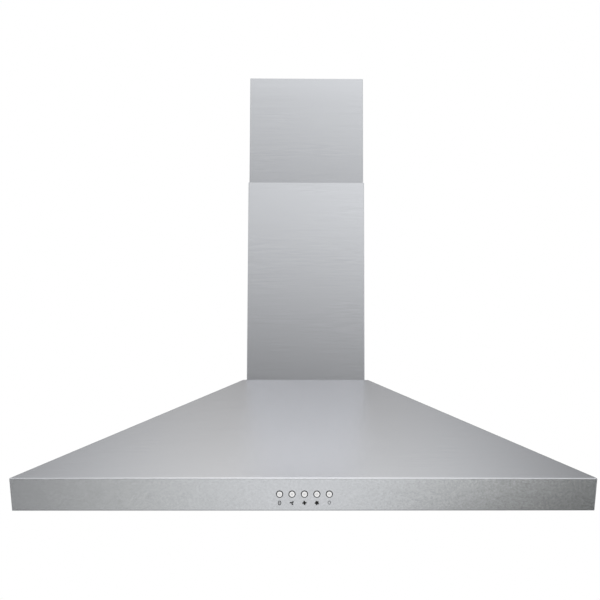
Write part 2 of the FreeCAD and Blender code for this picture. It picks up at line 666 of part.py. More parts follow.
def chimney_profile(sketch, width, depth, rear):
    """A U of thin sheet, open to the wall, with a narrow flange turned in at each rear edge."""
    wall = "chimney_sheet"
    half = "(" + width + " / 2)"
    front = "(-(" + depth + "))"
    back = "(-(" + rear + "))"
    right = [
        (half + " - chimney_return", back + " - " + wall),
        (half + " - chimney_return", back),
        (half, back),
        (half, front),
    ]
    inner_right = [
        (half + " - " + wall, front + " + " + wall),
        (half + " - " + wall, back + " - " + wall),
    ]
    left = [("-(" + x + ")", y) for x, y in reversed(right)]
    inner_left = [("-(" + x + ")", y) for x, y in reversed(inner_right)]
    return outline(sketch, right + left + inner_left + inner_right)


def lower_chimney():
    """The fixed chimney cover that stands on the crown."""
    body = new_body("lower_cover")
    profile = sketch_on(body, "XY_Plane", CROWN)
    chimney_profile(profile, "lower_chimney_width", "lower_chimney_depth", "0")
    pad(body, profile, "lower_chimney_length")
    hole = rod("+X", "-lower_chimney_width / 2 - cut_overrun", "-lower_chimney_depth / 2",
               CROWN + " + chimney_screw_height", "panel_screw_radius + screw_gap",
               "lower_chimney_width + 2 * cut_overrun")
    return node(cut(body, [hole]), "lower_chimney")


UPPER_WIDTH = "(lower_chimney_width - 2 * chimney_sheet - 2 * telescope_gap)"
UPPER_FRONT = "(lower_chimney_depth - chimney_sheet - telescope_gap)"
UPPER_REAR = "(chimney_sheet + telescope_gap)"
TAB_SCREW_Y = "(-wall_leg - wall_tab / 2)"
TAB_SCREW_Z = "(" + UPPER_TOP + " - wall_plate_drop - wall_plate_height / 2)"


def upper_chimney():
    """The chimney cover that slides in the lower one, with vent slots high on both sides."""
    body = new_body("upper_cover")
    profile = sketch_on(body, "XY_Plane", UPPER_FOOT)
    chimney_profile(profile, UPPER_WIDTH, UPPER_FRONT, UPPER_REAR)
    pad(body, profile, "upper_chimney_length")
    tools = [rod("+X", "-lower_chimney_width / 2 - cut_overrun", TAB_SCREW_Y, TAB_SCREW_Z,
                 "panel_screw_radius + screw_gap", "lower_chimney_width + 2 * cut_overrun")]
    for i in range(int(size("vent_count"))):
        tools.append(box("-lower_chimney_width / 2 - cut_overrun", "-lower_chimney_depth / 2 - vent_length / 2",
                         UPPER_TOP + " - vent_drop - %d * vent_pitch" % i,
                         "lower_chimney_width + 2 * cut_overrun", "vent_length", "vent_height"))
    return node(cut(body, tools), "upper_chimney")


def chimney_brackets():
    """Two angles on the crown that the lower chimney is screwed to."""
    outer = "(lower_chimney_width / 2 - chimney_sheet - seat_gap)"
    for label, sign in (("chimney_bracket_left", "-1"), ("chimney_bracket_right", "1")):
        body = new_body("angle")
        profile = sketch_on(body, "XZ_Plane")
        points = [
            (outer, CROWN),
            (outer, CROWN + " + base_bracket_height"),
            (outer + " - bracket_sheet", CROWN + " + base_bracket_height"),
            (outer + " - bracket_sheet", CROWN + " + bracket_sheet"),
            (outer + " - base_bracket_foot", CROWN + " + bracket_sheet"),
            (outer + " - base_bracket_foot", CROWN),
        ]
        outline(profile, [("(" + x + ") * " + sign, z) for x, z in points])
        bind(profile, AttachmentOffset__Base__z="lower_chimney_depth / 2")
        pad(body, profile, "base_bracket_length", both=True)
        side = rod("+X" if sign == "1" else "-X", "0", "-lower_chimney_depth / 2",
                   CROWN + " + chimney_screw_height", "panel_screw_radius + thread_gap", "lower_chimney_width")
        feet = [rod("+Z", FOOT_SCREW_X + " * " + sign, FOOT_SCREW_Y + " * " + way + " - lower_chimney_depth / 2",
                    CROWN + " - cut_overrun", "panel_screw_radius + thread_gap", "2 * cut_overrun")
                for way in ("-1", "1")]
        node(cut(body, [side] + feet), label)


def chimney_screws():
    """The screws of the chimney's foot: two through its sides, four through the angles' feet."""
    screws = []
    for sign, inwards in (("-1", "+X"), ("1", "-X")):
        screws.append(pan_screw(inwards, "lower_chimney_width / 2 * " + sign, "-lower_chimney_depth / 2",
                                CROWN + " + chimney_screw_height", "chimney_screw_length"))
        for way in ("-1", "1"):
            screws.append(pan_screw("-Z", FOOT_SCREW_X + " * " + sign,
                                    FOOT_SCREW_Y + " * " + way + " - lower_chimney_depth / 2",
                                    CROWN + " + bracket_sheet", "chimney_screw_length"))
    return node(group(screws), "chimney_screws")


def upper_wall_bracket():
    """The wall plate with stepped arms that the upper chimney is screwed to."""
    body = new_body("wall_plate")
    profile = sketch_on(body, "XY_Plane", UPPER_TOP + " - wall_plate_drop")
    t = "bracket_sheet"
    outer = "(" + UPPER_WIDTH + " / 2 - chimney_sheet - seat_gap)"
    leg = "(wall_plate_width / 2)"
    right = [
        (leg, "0"),
        (leg, "-wall_leg + " + t),
        (outer, "-wall_leg + " + t),
        (outer, "-wall_leg - wall_tab"),
        (outer + " - " + t, "-wall_leg - wall_tab"),
        (outer + " - " + t, "-wall_leg"),
        (leg + " - " + t, "-wall_leg"),
        (leg + " - " + t, "-" + t),
    ]
    left = [("-(" + x + ")", y) for x, y in reversed(right)]
    outline(profile, right + left)
    pad(body, profile, "wall_plate_height", backwards=True)
    tools = []
    for sign in ("-", ""):
        tools.append(rod("+Y", sign + "wall_hole_spacing / 2", "-cut_overrun", TAB_SCREW_Z,
                         "wall_hole_radius", "2 * cut_overrun"))
        tools.append(rod(sign.replace("-", "-X") or "+X", "0", TAB_SCREW_Y, TAB_SCREW_Z,
                         "panel_screw_radius + thread_gap", "lower_chimney_width"))
    return node(cut(body, tools), "upper_wall_bracket")


def upper_bracket_screws():
    """The two screws through the upper chimney's sides into the bracket's tabs."""
    screws = []
    for sign, inwards in (("-1", "+X"), ("1", "-X")):
        screws.append(pan_screw(inwards, UPPER_WIDTH + " / 2 * " + sign, TAB_SCREW_Y, TAB_SCREW_Z,
                                "chimney_screw_length"))
    return node(group(screws), "upper_bracket_screws")


def outlet_flange():
    """The square plate on the crown that carries the duct collar."""
    body = new_body("plate")
    plate = sketch_on(body, "XY_Plane", CROWN)
    side = "outlet_flange / 2"
    rectangle(plate, "-" + side, "-duct_centre - " + side, side, "-duct_centre + " + side)
    ring(plate, "0", "-duct_centre", "duct_radius - duct_wall")
    for x, y in flange_screw_places():
        ring(plate, x, y, "panel_screw_radius + screw_gap")
    pad(body, plate, "flange_sheet")
    return node(body, "outlet_flange")


def outlet_collar():
    """The duct collar on its flange, with the ring that the closed flaps rest on."""
    body = new_body("collar")
    tube = sketch_on(body, "XY_Plane", CROWN + " + flange_sheet")
    ring(tube, "0", "-duct_centre", "duct_radius")
    ring(tube, "0", "-duct_centre", "duct_radius - duct_wall")
    pad(body, tube, "collar_height")
    stop = sketch_on(body, "XY_Plane", FLAP_Z + " - flap_sheet / 2 - seat_gap - flap_stop_height")
    ring(stop, "0", "-duct_centre", "duct_radius - duct_wall / 2")
    ring(stop, "0", "-duct_centre", "duct_radius - duct_wall - flap_stop_width")
    pad(body, stop, "flap_stop_height")
    bore = rod("+X", "-duct_radius - cut_overrun", "-duct_centre", FLAP_Z,
               "flap_pin_radius + pin_seat_fit", "2 * duct_radius + 2 * cut_overrun")
    return node(cut(body, [bore]), "outlet_collar")


FLAP_Z = "(band_height + slope_rise + flange_sheet + flap_height)"


def flange_screw_places():
    """The four corners where the outlet flanges are screwed through the crown."""
    reach = "outlet_flange / 2 * flange_screw_share"
    return [(x + reach, "-duct_centre " + y + reach) for x in ("-", "") for y in ("- ", "+ ")]


def damper_pin():
    """The pin across the collar that both flaps swing on."""
    return node(rod("+X", "-duct_radius + seat_gap", "-duct_centre", FLAP_Z, "flap_pin_radius",
                    "2 * duct_radius - 2 * seat_gap"), "damper_pin")


def damper_flap(label, turn):
    """A half round flap with two knuckles, modelled in front of the pin and turned for the rear one."""
    root = "(knuckle_radius + flap_root_gap)"
    disc = rod("+Z", "0", "0", "-flap_sheet / 2", "flap_radius", "flap_sheet")
    away = box("-flap_radius - cut_overrun", "-" + root, "-cut_overrun", "2 * flap_radius + 2 * cut_overrun",
               "flap_radius + cut_overrun", "2 * cut_overrun")
    half = cut(disc, [away])
    spans = ["-knuckle_outer_start - knuckle_length", "knuckle_inner_start"]
    parts = [half]
    for start in spans:
        parts.append(rod("+X", start, "0", "0", "knuckle_radius", "knuckle_length"))
        parts.append(box(start, "-" + root + " - flap_sheet", "-flap_sheet / 2",
                         "knuckle_length", root + " + flap_sheet", "flap_sheet"))
    bore = rod("+X", "-flap_radius", "0", "0", "flap_pin_radius + flap_pin_fit", "2 * flap_radius")
    flap = cut(fuse(parts), [bore])
    flap.Placement = FreeCAD.Placement(Vector(), Rotation(Vector(0, 0, 1), turn))
    place(flap, "0", "-duct_centre", FLAP_Z)
    return node(flap, label)


def outlet_transition():
    """The sheet funnel from the blower's square throat to the round hole in the crown."""
    body = new_body("funnel")
    top = CROWN + " - canopy_sheet - flange_sheet"
    rear = "(-scroll_y + scroll_radius)"
    low = sketch_on(body, "XY_Plane", "throat_top")
    rectangle(low, "-scroll_width / 2", rear + " - throat_depth", "scroll_width / 2", rear)
    high = sketch_on(body, "XY_Plane", top)
    ring(high, "0", "-duct_centre", "duct_radius")
    loft(body, "AdditiveLoft", low, high)
    flange = sketch_on(body, "XY_Plane", top)
    side = "outlet_flange / 2"
    rectangle(flange, "-" + side, "-duct_centre - " + side, side, "-duct_centre + " + side)
    pad(body, flange, "flange_sheet")
    doc.recompute()
    inner_low = sketch_on(body, "XY_Plane", "throat_top")
    wall = "scroll_sheet"
    rectangle(inner_low, "-scroll_width / 2 + " + wall, rear + " - throat_depth + " + wall,
              "scroll_width / 2 - " + wall, rear + " - " + wall)
    inner_high = sketch_on(body, "XY_Plane", top)
    ring(inner_high, "0", "-duct_centre", "duct_radius - duct_wall")
    loft(body, "SubtractiveLoft", inner_low, inner_high)
    opening = sketch_on(body, "XY_Plane", top)
    ring(opening, "0", "-duct_centre", "duct_radius - duct_wall")
    for x, y in flange_screw_places():
        ring(opening, x, y, "panel_screw_radius + thread_gap")
    pocket(body, opening, "flange_sheet + cut_overrun", backwards=True)
    return node(body, "outlet_transition")


def outlet_screws():
    """Four screws through collar flange, crown and funnel flange."""
    return node(group([pan_screw("-Z", x, y, CROWN + " + flange_sheet") for x, y in flange_screw_places()]),
                "outlet_screws")


def blower_housing():
    """A drum set off the wheel's axis, with an upward throat at the rear and an inlet on each side."""
    def drum(shrink):
        wide = "(scroll_width - 2 * " + shrink + ")"
        round_part = rod("+X", "-" + wide + " / 2", "-scroll_y", "scroll_z", "scroll_radius - " + shrink, wide)
        over = "0" if shrink == "0" else "cut_overrun"
        throat = box("-" + wide + " / 2", "-scroll_y + scroll_radius - throat_depth + " + shrink, "scroll_z",
                     wide, "throat_depth - 2 * " + shrink, "throat_top - scroll_z + " + over)
        return fuse([round_part, throat])
    inlet = rod("+X", "-scroll_width / 2 - cut_overrun", WHEEL_Y, WHEEL_Z, "inlet_radius",
                "scroll_width + 2 * cut_overrun")
    return node(cut(drum("0"), [drum("scroll_sheet"), inlet]), "blower_housing")


def inlet_rings():
    """The rounded air inlets on both sides of the housing."""
    for label, sign, turn in (("inlet_ring_left", "-1", "-X"), ("inlet_ring_right", "1", "+X")):
        body = new_body("bell")
        profile = sketch_on(body, "XZ_Plane")
        inner = "(inlet_radius - seat_gap - inlet_sheet)"
        outline(profile, [
            (inner, "-inlet_lip"),
            (inner + " + inlet_sheet", "-inlet_lip"),
            (inner + " + inlet_sheet", "0"),
            (inner + " + inlet_flange", "0"),
            (inner + " + inlet_flange", "inlet_sheet"),
            (inner, "inlet_sheet"),
        ])
        revolve(body, profile)
        body.Placement = FreeCAD.Placement(Vector(), TURNS[turn])
        place(body, "scroll_width / 2 * " + sign, WHEEL_Y, WHEEL_Z)
        node(body, label)


def blade_profile(sketch):
    """One forward-curved blade: two arcs joined by two short straight ends."""
    def polar(radius, angle):
        turn = "((" + angle + ") * 1 deg)"
        return "(" + radius + ") * cos" + turn, "(" + radius + ") * sin" + turn
    inner = "wheel_radius - blade_depth"
    outer = "wheel_radius - blade_tip_gap"
    lift = "(blade_sheet / wheel_radius * 180 / pi)"
    corners = [
        polar(inner, "0"),
        polar(outer, "blade_sweep"),
        polar(outer, "blade_sweep + " + lift),
        polar(inner, lift),
    ]
    return outline(sketch, corners, {0: "blade_bow", 2: "-blade_bow"})


def impeller():
    """The blower wheel: blades round a middle disc, a ring at each end and a hub on the shaft."""
    body = new_body("wheel")
    disc = sketch_on(body, "YZ_Plane")
    ring(disc, "0", "0", "wheel_radius")
    pad(body, disc, "wheel_disc", both=True)
    hub = sketch_on(body, "YZ_Plane")
    ring(hub, "0", "0", "wheel_hub_radius")
    pad(body, hub, "wheel_hub_length", both=True)
    blade = sketch_on(body, "YZ_Plane")
    blade_profile(blade)
    blade_pad = pad(body, blade, "wheel_width", both=True)
    doc.recompute()
    around = body.newObject("PartDesign::PolarPattern", "blades")
    around.Originals = [blade_pad]
    around.Axis = (blade, ["N_Axis"])
    around.Angle = 360
    bind(around, Occurrences="blade_count")
    body.Tip = around
    for sign in ("-", ""):
        rim = sketch_on(body, "YZ_Plane", sign + "(wheel_width / 2 - wheel_ring / 2)")
        ring(rim, "0", "0", "wheel_radius")
        ring(rim, "0", "0", "wheel_radius - wheel_ring")
        pad(body, rim, "wheel_ring", both=True)
    bore = sketch_on(body, "YZ_Plane")
    ring(bore, "0", "0", "shaft_radius")
    pocket(body, bore, "wheel_hub_length + 2 * cut_overrun", both=True)
    place(body, "0", WHEEL_Y, WHEEL_Z)
    return node(body, "impeller")


MOTOR_X = "(scroll_width / 2 + motor_stand_off)"


def motor_shaft():
    """The shaft from the wheel's hub into the motor."""
    return node(rod("+X", "-wheel_hub_length / 2 - cut_overrun", WHEEL_Y, WHEEL_Z, "shaft_radius",
                    MOTOR_X + " + shaft_depth + wheel_hub_length / 2 + cut_overrun"), "motor_shaft")


def motor_body():
    """The motor's can with rounded edges, a bearing boss and the shaft's bore."""
    body = new_body("motor")
    profile = sketch_on(body, "XZ_Plane")
    bore = "(shaft_radius + shaft_fit)"
    outline(profile, [
        (bore, "0"),
        ("motor_boss", "0"),
        ("motor_boss", "motor_edge"),
        ("motor_radius - motor_edge", "motor_edge"),
        ("motor_radius", "2 * motor_edge"),
        ("motor_radius", "motor_length - motor_edge"),
        ("motor_radius - motor_edge", "motor_length"),
        ("0", "motor_length"),
        ("0", "shaft_depth + seat_gap"),
        (bore, "shaft_depth + seat_gap"),
    ])
    revolve(body, profile)
    body.Placement = FreeCAD.Placement(Vector(), TURNS["+X"])
    place(body, MOTOR_X, WHEEL_Y, WHEEL_Z)
    return node(body, "motor_body")


def motor_bracket():
    """A ring round the motor on three arms that stand on the housing's side."""
    body = new_body("spider")
    clamp = sketch_on(body, "YZ_Plane", "motor_stand_off + arm_offset")
    ring(clamp, "0", "0", "motor_radius + seat_gap + arm_ring")
    ring(clamp, "0", "0", "motor_radius + seat_gap")
    pad(body, clamp, "arm_width")
    arm = sketch_on(body, "YZ_Plane", "motor_stand_off + arm_offset")
    rectangle(arm, "motor_radius + seat_gap + arm_ring / 2", "-arm_width / 2", "arm_reach", "arm_width / 2")
    arm_pad = pad(body, arm, "arm_ring")
    foot = sketch_on(body, "YZ_Plane")
    rectangle(foot, "arm_reach - arm_ring", "-arm_width / 2", "arm_reach", "arm_width / 2")
    foot_pad = pad(body, foot, "motor_stand_off + arm_offset + arm_ring")
    doc.recompute()
    around = body.newObject("PartDesign::PolarPattern", "arms")
    around.Originals = [arm_pad, foot_pad]
    around.Axis = (foot, ["N_Axis"])
    around.Angle = 360
    bind(around, Occurrences="arm_count")
    body.Tip = around
    place(body, "scroll_width / 2", WHEEL_Y, WHEEL_Z)
    return node(body, "motor_bracket")


def capacitor():
    """The motor's capacitor, standing off the back panel, with two flat terminals."""
    can = rod("-Y", "capacitor_x", "-canopy_sheet", "capacitor_z", "capacitor_radius", "capacitor_length")
    terminals = [box("capacitor_x - terminal_sheet / 2 + terminal_spacing / 2 * " + sign,
                     "-canopy_sheet - capacitor_length - terminal_height", "capacitor_z - terminal_width / 2",
                     "terminal_sheet", "2 * terminal_height", "terminal_width") for sign in ("-1", "1")]
    return node(fuse([can] + terminals), "motor_capacitor")


BOX_LEFT = "(-box_x - box_width / 2)"


def cover_screw_places():
    """Two opposite corners of the junction box, where its bosses stand."""
    inset = "box_boss"
    return [
        (BOX_LEFT + " + " + inset, "box_z + " + inset),
        (BOX_LEFT + " + box_width - " + inset, "box_z + box_height - " + inset),
    ]


def junction_box():
    """The open plastic box for the mains terminals, on the back panel, with two bosses for its cover."""
    outer = box(BOX_LEFT, "-canopy_sheet - box_depth", "box_z", "box_width", "box_depth", "box_height")
    inner = box(BOX_LEFT + " + box_wall", "-canopy_sheet - box_depth - cut_overrun", "box_z + box_wall",
                "box_width - 2 * box_wall", "box_depth - box_wall + cut_overrun", "box_height - 2 * box_wall")
    hole = rod("+X", "-box_x", "-canopy_sheet - box_depth / 2", "box_z + box_height / 2", "box_hole", "box_width")
    shell = cut(outer, [inner, hole])
    bosses = [rod("-Y", x, "-canopy_sheet - box_wall / 2", z, "box_boss", "box_depth - box_wall / 2")
              for x, z in cover_screw_places()]
    threads = [rod("+Y", x, "-canopy_sheet - box_depth - cut_overrun", z, "panel_screw_radius + thread_gap",
                   "panel_screw_length + cut_overrun + cover_sheet") for x, z in cover_screw_places()]
    return node(cut(fuse([shell] + bosses), threads), "junction_box")


def junction_cover():
    """The flat cover on the junction box, with its two screw holes."""
    front = "-canopy_sheet - box_depth - cover_sheet"
    plate = box(BOX_LEFT, front, "box_z", "box_width", "cover_sheet", "box_height")
    holes = [rod("+Y", x, front + " - cut_overrun", z, "panel_screw_radius + screw_gap", "2 * cut_overrun")
             for x, z in cover_screw_places()]
    return node(cut(plate, holes), "junction_cover")


def cover_screws():
    """The two screws of the junction box's cover."""
    front = "-canopy_sheet - box_depth - cover_sheet"
    return node(group([pan_screw("+Y", x, front, z) for x, z in cover_screw_places()]), "cover_screws")


def cable_gland():
    """The gland in the crown through which the supply cable comes in."""
    body = new_body("gland")
    profile = sketch_on(body, "XZ_Plane")
    outline(profile, [
        ("gland_bore", "-gland_nut_height - canopy_sheet"),
        ("gland_nut", "-gland_nut_height - canopy_sheet"),
        ("gland_nut", "-canopy_sheet"),
        ("gland_barrel", "-canopy_sheet"),
        ("gland_barrel", "0"),
        ("gland_nut", "0"),
        ("gland_nut", "gland_nut_height"),
        ("gland_barrel", "gland_dome_height"),
        ("gland_bore", "gland_dome_height"),
    ])
    revolve(body, profile)
    place(body, GLAND_X, "-gland_y", CROWN)
    return node(body, "cable_gland")


def lamp_driver():
    """The box with the lamps' power supply, on the underside panel."""
    return node(box(LAMP_X + " - driver_lamp_gap - driver_length", "-hood_depth + driver_inset", PANEL_TOP,
                    "driver_length", "driver_depth", "driver_height"), "lamp_driver")


def control_block():
    """The switch block behind the buttons, square to the band."""
    width = "((button_count - 1) * button_pitch + 2 * switch_side_margin)"
    block = doc.addObject("Part::Box", "block")
    bind(block, Length=width, Width="2 * switch_half_height", Height="switch_depth")
    tilted(block, "-" + width + " / 2", "canopy_sheet + seat_gap / 2", "switch_half_height")
    tools = []
    for x in button_places():
        tools.append(tilted_rod(x, "0", "bezel_barrel_radius + bezel_fit",
                                "cap_length + button_travel + seat_gap"))
        tools.append(tilted_rod(x, "0", "stem_radius + stem_fit",
                                "cap_length + stem_length + button_travel + seat_gap"))
    return node(cut(block, tools), "control_block")


def buttons():
    """The push buttons, each a domed cap with a stem, in a loop."""
    for number, x in enumerate(button_places(), 1):
        body = new_body("button")
        profile = sketch_on(body, "XZ_Plane")
        front = "(-bezel_flange - cap_proud)"
        outline(profile, [
            ("0", "cap_length + stem_length"),
            ("0", front),
            ("cap_radius", front + " + cap_dome"),
            ("cap_radius", "cap_length"),
            ("stem_radius", "cap_length"),
            ("stem_radius", "cap_length + stem_length"),
        ], {1: "cap_bulge"})
        revolve(body, profile)
        tilted(body, x, "0")
        node(body, "button_%d" % number)


def button_bezels():
    """The five rings round the buttons, pushed into the band."""
    rings = []
    for x in button_places():
        flange = tilted_rod(x, "-bezel_flange", "bezel_radius", "bezel_flange")
        barrel = tilted_rod(x, "0", "bezel_barrel_radius", "bezel_barrel_length")
        bore = tilted_rod(x, "-cut_overrun", "cap_radius + cap_fit", "bezel_barrel_length + 2 * cut_overrun")
        rings.append(cut(fuse([flange, barrel]), [bore]))
    return node(group(rings), "button_bezels")


def lamps():
    """Two round lamps: a ring with a barrel, a lens on the ring's lip and a finned heat sink above."""
    for side, sign in (("left", "-1"), ("right", "1")):
        x = LAMP_X + " * " + sign
        trim = new_body("lamp_trim")
        profile = sketch_on(trim, "XZ_Plane")
        outline(profile, [
            ("lamp_window_radius", "-lamp_flange"),
            (LAMP_RING, "-lamp_flange"),
            (LAMP_RING, "0"),
            (BARREL_RADIUS, "0"),
            (BARREL_RADIUS, "lamp_barrel_height"),
            (LENS_RADIUS + " + lens_fit", "lamp_barrel_height"),
            (LENS_RADIUS + " + lens_fit", "-lamp_flange + lens_seat"),
            ("lamp_window_radius", "-lamp_flange + lens_seat"),
        ])
        revolve(trim, profile)
        place(trim, x, LAMP_Y, "canopy_sheet")
        node(trim, "lamp_ring_" + side)
        node(rod("+Z", x, LAMP_Y, "canopy_sheet - lamp_flange + lens_seat", LENS_RADIUS, "lens_thickness"),
             "lamp_lens_" + side)
        floor = "canopy_sheet + lamp_barrel_height"
        plates = [rod("+Z", x, LAMP_Y, floor, "heat_sink_core", "heat_sink_height")]
        count = int(size("heat_sink_fin_count"))
        for i in range(count):
            plates.append(rod("+Z", x, LAMP_Y,
                              floor + " + %d * (heat_sink_height - heat_sink_fin) / (heat_sink_fin_count - 1)" % i,
                              BARREL_RADIUS, "heat_sink_fin"))
        node(fuse(plates), "lamp_body_" + side)


def filter_frame(side, x):
    """A channel frame round the baffles, with rear tabs and the catch's guide in its wide front."""
    half = "(" + OPENING_WIDTH + " / 2 - filter_gap)"
    width = "(" + OPENING_WIDTH + " - 2 * filter_gap)"
    depth = "(" + OPENING_DEPTH + " - 2 * filter_gap)"
    front = "(-" + OPENING_DEPTH + " + filter_gap)"
    outer = box("-" + half, front, "-filter_drop", width, depth, "filter_height")
    inner = box("-" + half + " + filter_sheet", front + " + filter_sheet", "-filter_drop + filter_sheet",
                width + " - 2 * filter_sheet", depth + " - 2 * filter_sheet", "filter_height - 2 * filter_sheet")
    window = box("-" + half + " + filter_rim", front + " + filter_front_rim", "-filter_drop - cut_overrun",
                 width + " - 2 * filter_rim", depth + " - filter_front_rim - filter_rim",
                 "filter_height + 2 * cut_overrun")
    shell = cut(outer, [inner, window])
    guide_y = "(" + NOSE_Y + " + knob_setback + knob_depth + catch_travel + seat_gap)"
    guide = box("-catch_width / 2 - guide_wall", guide_y, "-filter_drop + filter_sheet / 2",
                "catch_width + 2 * guide_wall", "guide_length",
                "filter_drop - filter_sheet / 2 + catch_lift + catch_thickness + guide_wall")
    parts = [shell, guide]
    for sign in ("-1", "1"):
        parts.append(box(width + " * tab_place_share * " + sign + " - tab_width / 2", "-filter_gap - filter_sheet",
                         "seat_gap", "tab_width", "filter_gap + filter_sheet + tab_length", "tab_sheet"))
    fit = "catch_fit"
    slot = box("-catch_width / 2 - " + fit, front + " - cut_overrun", "catch_lift - " + fit,
               "catch_width + 2 * " + fit, "filter_front_rim + cut_overrun", "catch_thickness + 2 * " + fit)
    knob_slot = box("-knob_width / 2 - seat_gap", NOSE_Y + " + knob_setback - seat_gap",
                    "-filter_drop - cut_overrun", "knob_width + 2 * seat_gap",
                    "knob_depth + catch_travel + 2 * seat_gap", "filter_sheet + cut_overrun + seat_gap")
    frame = cut(fuse(parts), [slot, knob_slot])
    place(frame, x, "-filter_opening_rear", PANEL_TOP)
    return node(frame, "filter_frame_" + side)


def filter_catch(side, x):
    """The spring catch: a plate with a rounded nose and a finger knob below."""
    body = new_body("catch")
    profile = sketch_on(body, "YZ_Plane")
    low = "catch_lift"
    high = "(catch_lift + catch_thickness)"
    outline(profile, [
        (NOSE_Y, low + " + catch_thickness * nose_chamfer_share"),
        (NOSE_Y + " + catch_reach / 2", low),
        (NOSE_Y + " + knob_setback", low),
        (NOSE_Y + " + knob_setback", "-filter_drop - knob_drop"),
        (NOSE_Y + " + knob_setback + knob_depth", "-filter_drop - knob_drop"),
        (NOSE_Y + " + knob_setback + knob_depth", low),
        (NOSE_Y + " + catch_length", low),
        (NOSE_Y + " + catch_length", high),
        (NOSE_Y + " + catch_reach / 2", high),
        (NOSE_Y, high + " - catch_thickness * nose_chamfer_share"),
    ])
    pad(body, profile, "catch_width", both=True)
    sides = []
    for sign in ("-1", "1"):
        x_low = "knob_width / 2" if sign == "1" else "-catch_width / 2 - cut_overrun"
        sides.append(box(x_low, NOSE_Y, "-filter_drop - knob_drop - cut_overrun",
                         "(catch_width - knob_width) / 2 + cut_overrun", "catch_length",
                         "filter_drop + knob_drop + cut_overrun + catch_lift"))
    catch = cut(body, sides)
    place(catch, x, "-filter_opening_rear", PANEL_TOP)
    return node(catch, "filter_catch_" + side)


def filter_baffles(side, x):
    """Two layers of channels that face each other, staggered, on two rails."""
    body = new_body("baffles")
    reach = "(" + OPENING_WIDTH + " / 2 - filter_gap - filter_sheet - baffle_gap)"
    rear = "(-filter_gap - filter_sheet - baffle_gap)"
    front = "(-" + OPENING_DEPTH + " + filter_gap + filter_front_rim - baffle_rail)"
    floor = "(-filter_drop + filter_sheet + baffle_gap)"
    roof = "(-filter_drop + filter_height - filter_sheet - baffle_gap)"
    mid_low = "(" + floor + " + baffle_height)"
    mid_high = "(" + roof + " - baffle_height)"
    rails = sketch_on(body, "XY_Plane", floor)
    rectangle(rails, "-" + reach, rear + " - baffle_rail", reach, rear)
    rectangle(rails, "-" + reach, front, reach, front + " + baffle_rail")
    pad(body, rails, roof + " - " + floor)
    pitch = "((2 * " + reach + " - baffle_width) / (baffle_count - 1))"
    rows = []
    for start, base, lip, inner, count in (
            ("-" + reach, floor, mid_low, floor + " + baffle_sheet", "baffle_count"),
            ("-" + reach + " + " + pitch + " / 2", roof, mid_high, roof + " - baffle_sheet", "baffle_count - 1")):
        profile = sketch_on(body, "XZ_Plane", "-" + rear)
        outline(profile, [
            (start, base),
            (start + " + baffle_width", base),
            (start + " + baffle_width", lip),
            (start + " + baffle_width - baffle_sheet", lip),
            (start + " + baffle_width - baffle_sheet", inner),
            (start + " + baffle_sheet", inner),
            (start + " + baffle_sheet", lip),
            (start, lip),
        ])
        channel = pad(body, profile, rear + " - " + front)
        rows.append((profile, channel, count))
    doc.recompute()
    for profile, channel, count in rows:
        row = body.newObject("PartDesign::LinearPattern", "row")
        row.Originals = [channel]
        row.Direction = (profile, ["H_Axis"])
        bind(row, Length=pitch + " * (" + count + " - 1)", Occurrences=count)
        body.Tip = row
        doc.recompute()
    place(body, x, "-filter_opening_rear", PANEL_TOP)
    return node(body, "filter_baffles_" + side)


def filters():
    """The two baffle filters, each with a frame, baffles and a catch."""
    for side, x in (("left", "-" + OPENING_X), ("right", OPENING_X)):
        filter_frame(side, x)
        filter_baffles(side, x)
        filter_catch(side, x)


def check_model():
    """Stop if an object failed or a sub-part is empty or not valid."""
    for item in doc.Objects:
        if "Invalid" in item.State or "Error" in item.State:
            raise RuntimeError("%s (%s) failed: %s" % (item.Label, item.TypeId, item.State))
    for item in nodes:
        if item.Shape.isNull() or not item.Shape.isValid():
            raise RuntimeError(item.Label + " has no valid shape")


def write_parts():
    """Write each sub-part to a file that has its label's name."""
    os.makedirs("parts", exist_ok=True)
    for item in nodes:
        item.Shape.exportStep("parts/%s.step" % item.Label)


def main():
    fill_sheet()
    canopy_skin()
    front_band()
    back_panel()
    underside_panel()
    panel_screws()
    lower_chimney()
    upper_chimney()
    chimney_brackets()
    chimney_screws()
    upper_wall_bracket()
    upper_bracket_screws()
    outlet_flange()
    outlet_collar()
    damper_pin()
    damper_flap("damper_flap_front", 0)
    damper_flap("damper_flap_rear", 180)
    outlet_transition()
    outlet_screws()
    blower_housing()
    inlet_rings()
    impeller()
    motor_shaft()
    motor_body()
    motor_bracket()
    capacitor()
    junction_box()
    junction_cover()
    cover_screws()
    cable_gland()
    lamp_driver()
    control_block()
    buttons()
    button_bezels()
    lamps()
    filters()
    doc.recompute()
    check_model()
    write_parts()


main()
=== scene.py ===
from math import atan2, cos, hypot, pi, radians, sin, sqrt, tan

import bmesh
import bpy
from bpy.props import FloatProperty, FloatVectorProperty, PointerProperty
from mathutils import Matrix, Vector


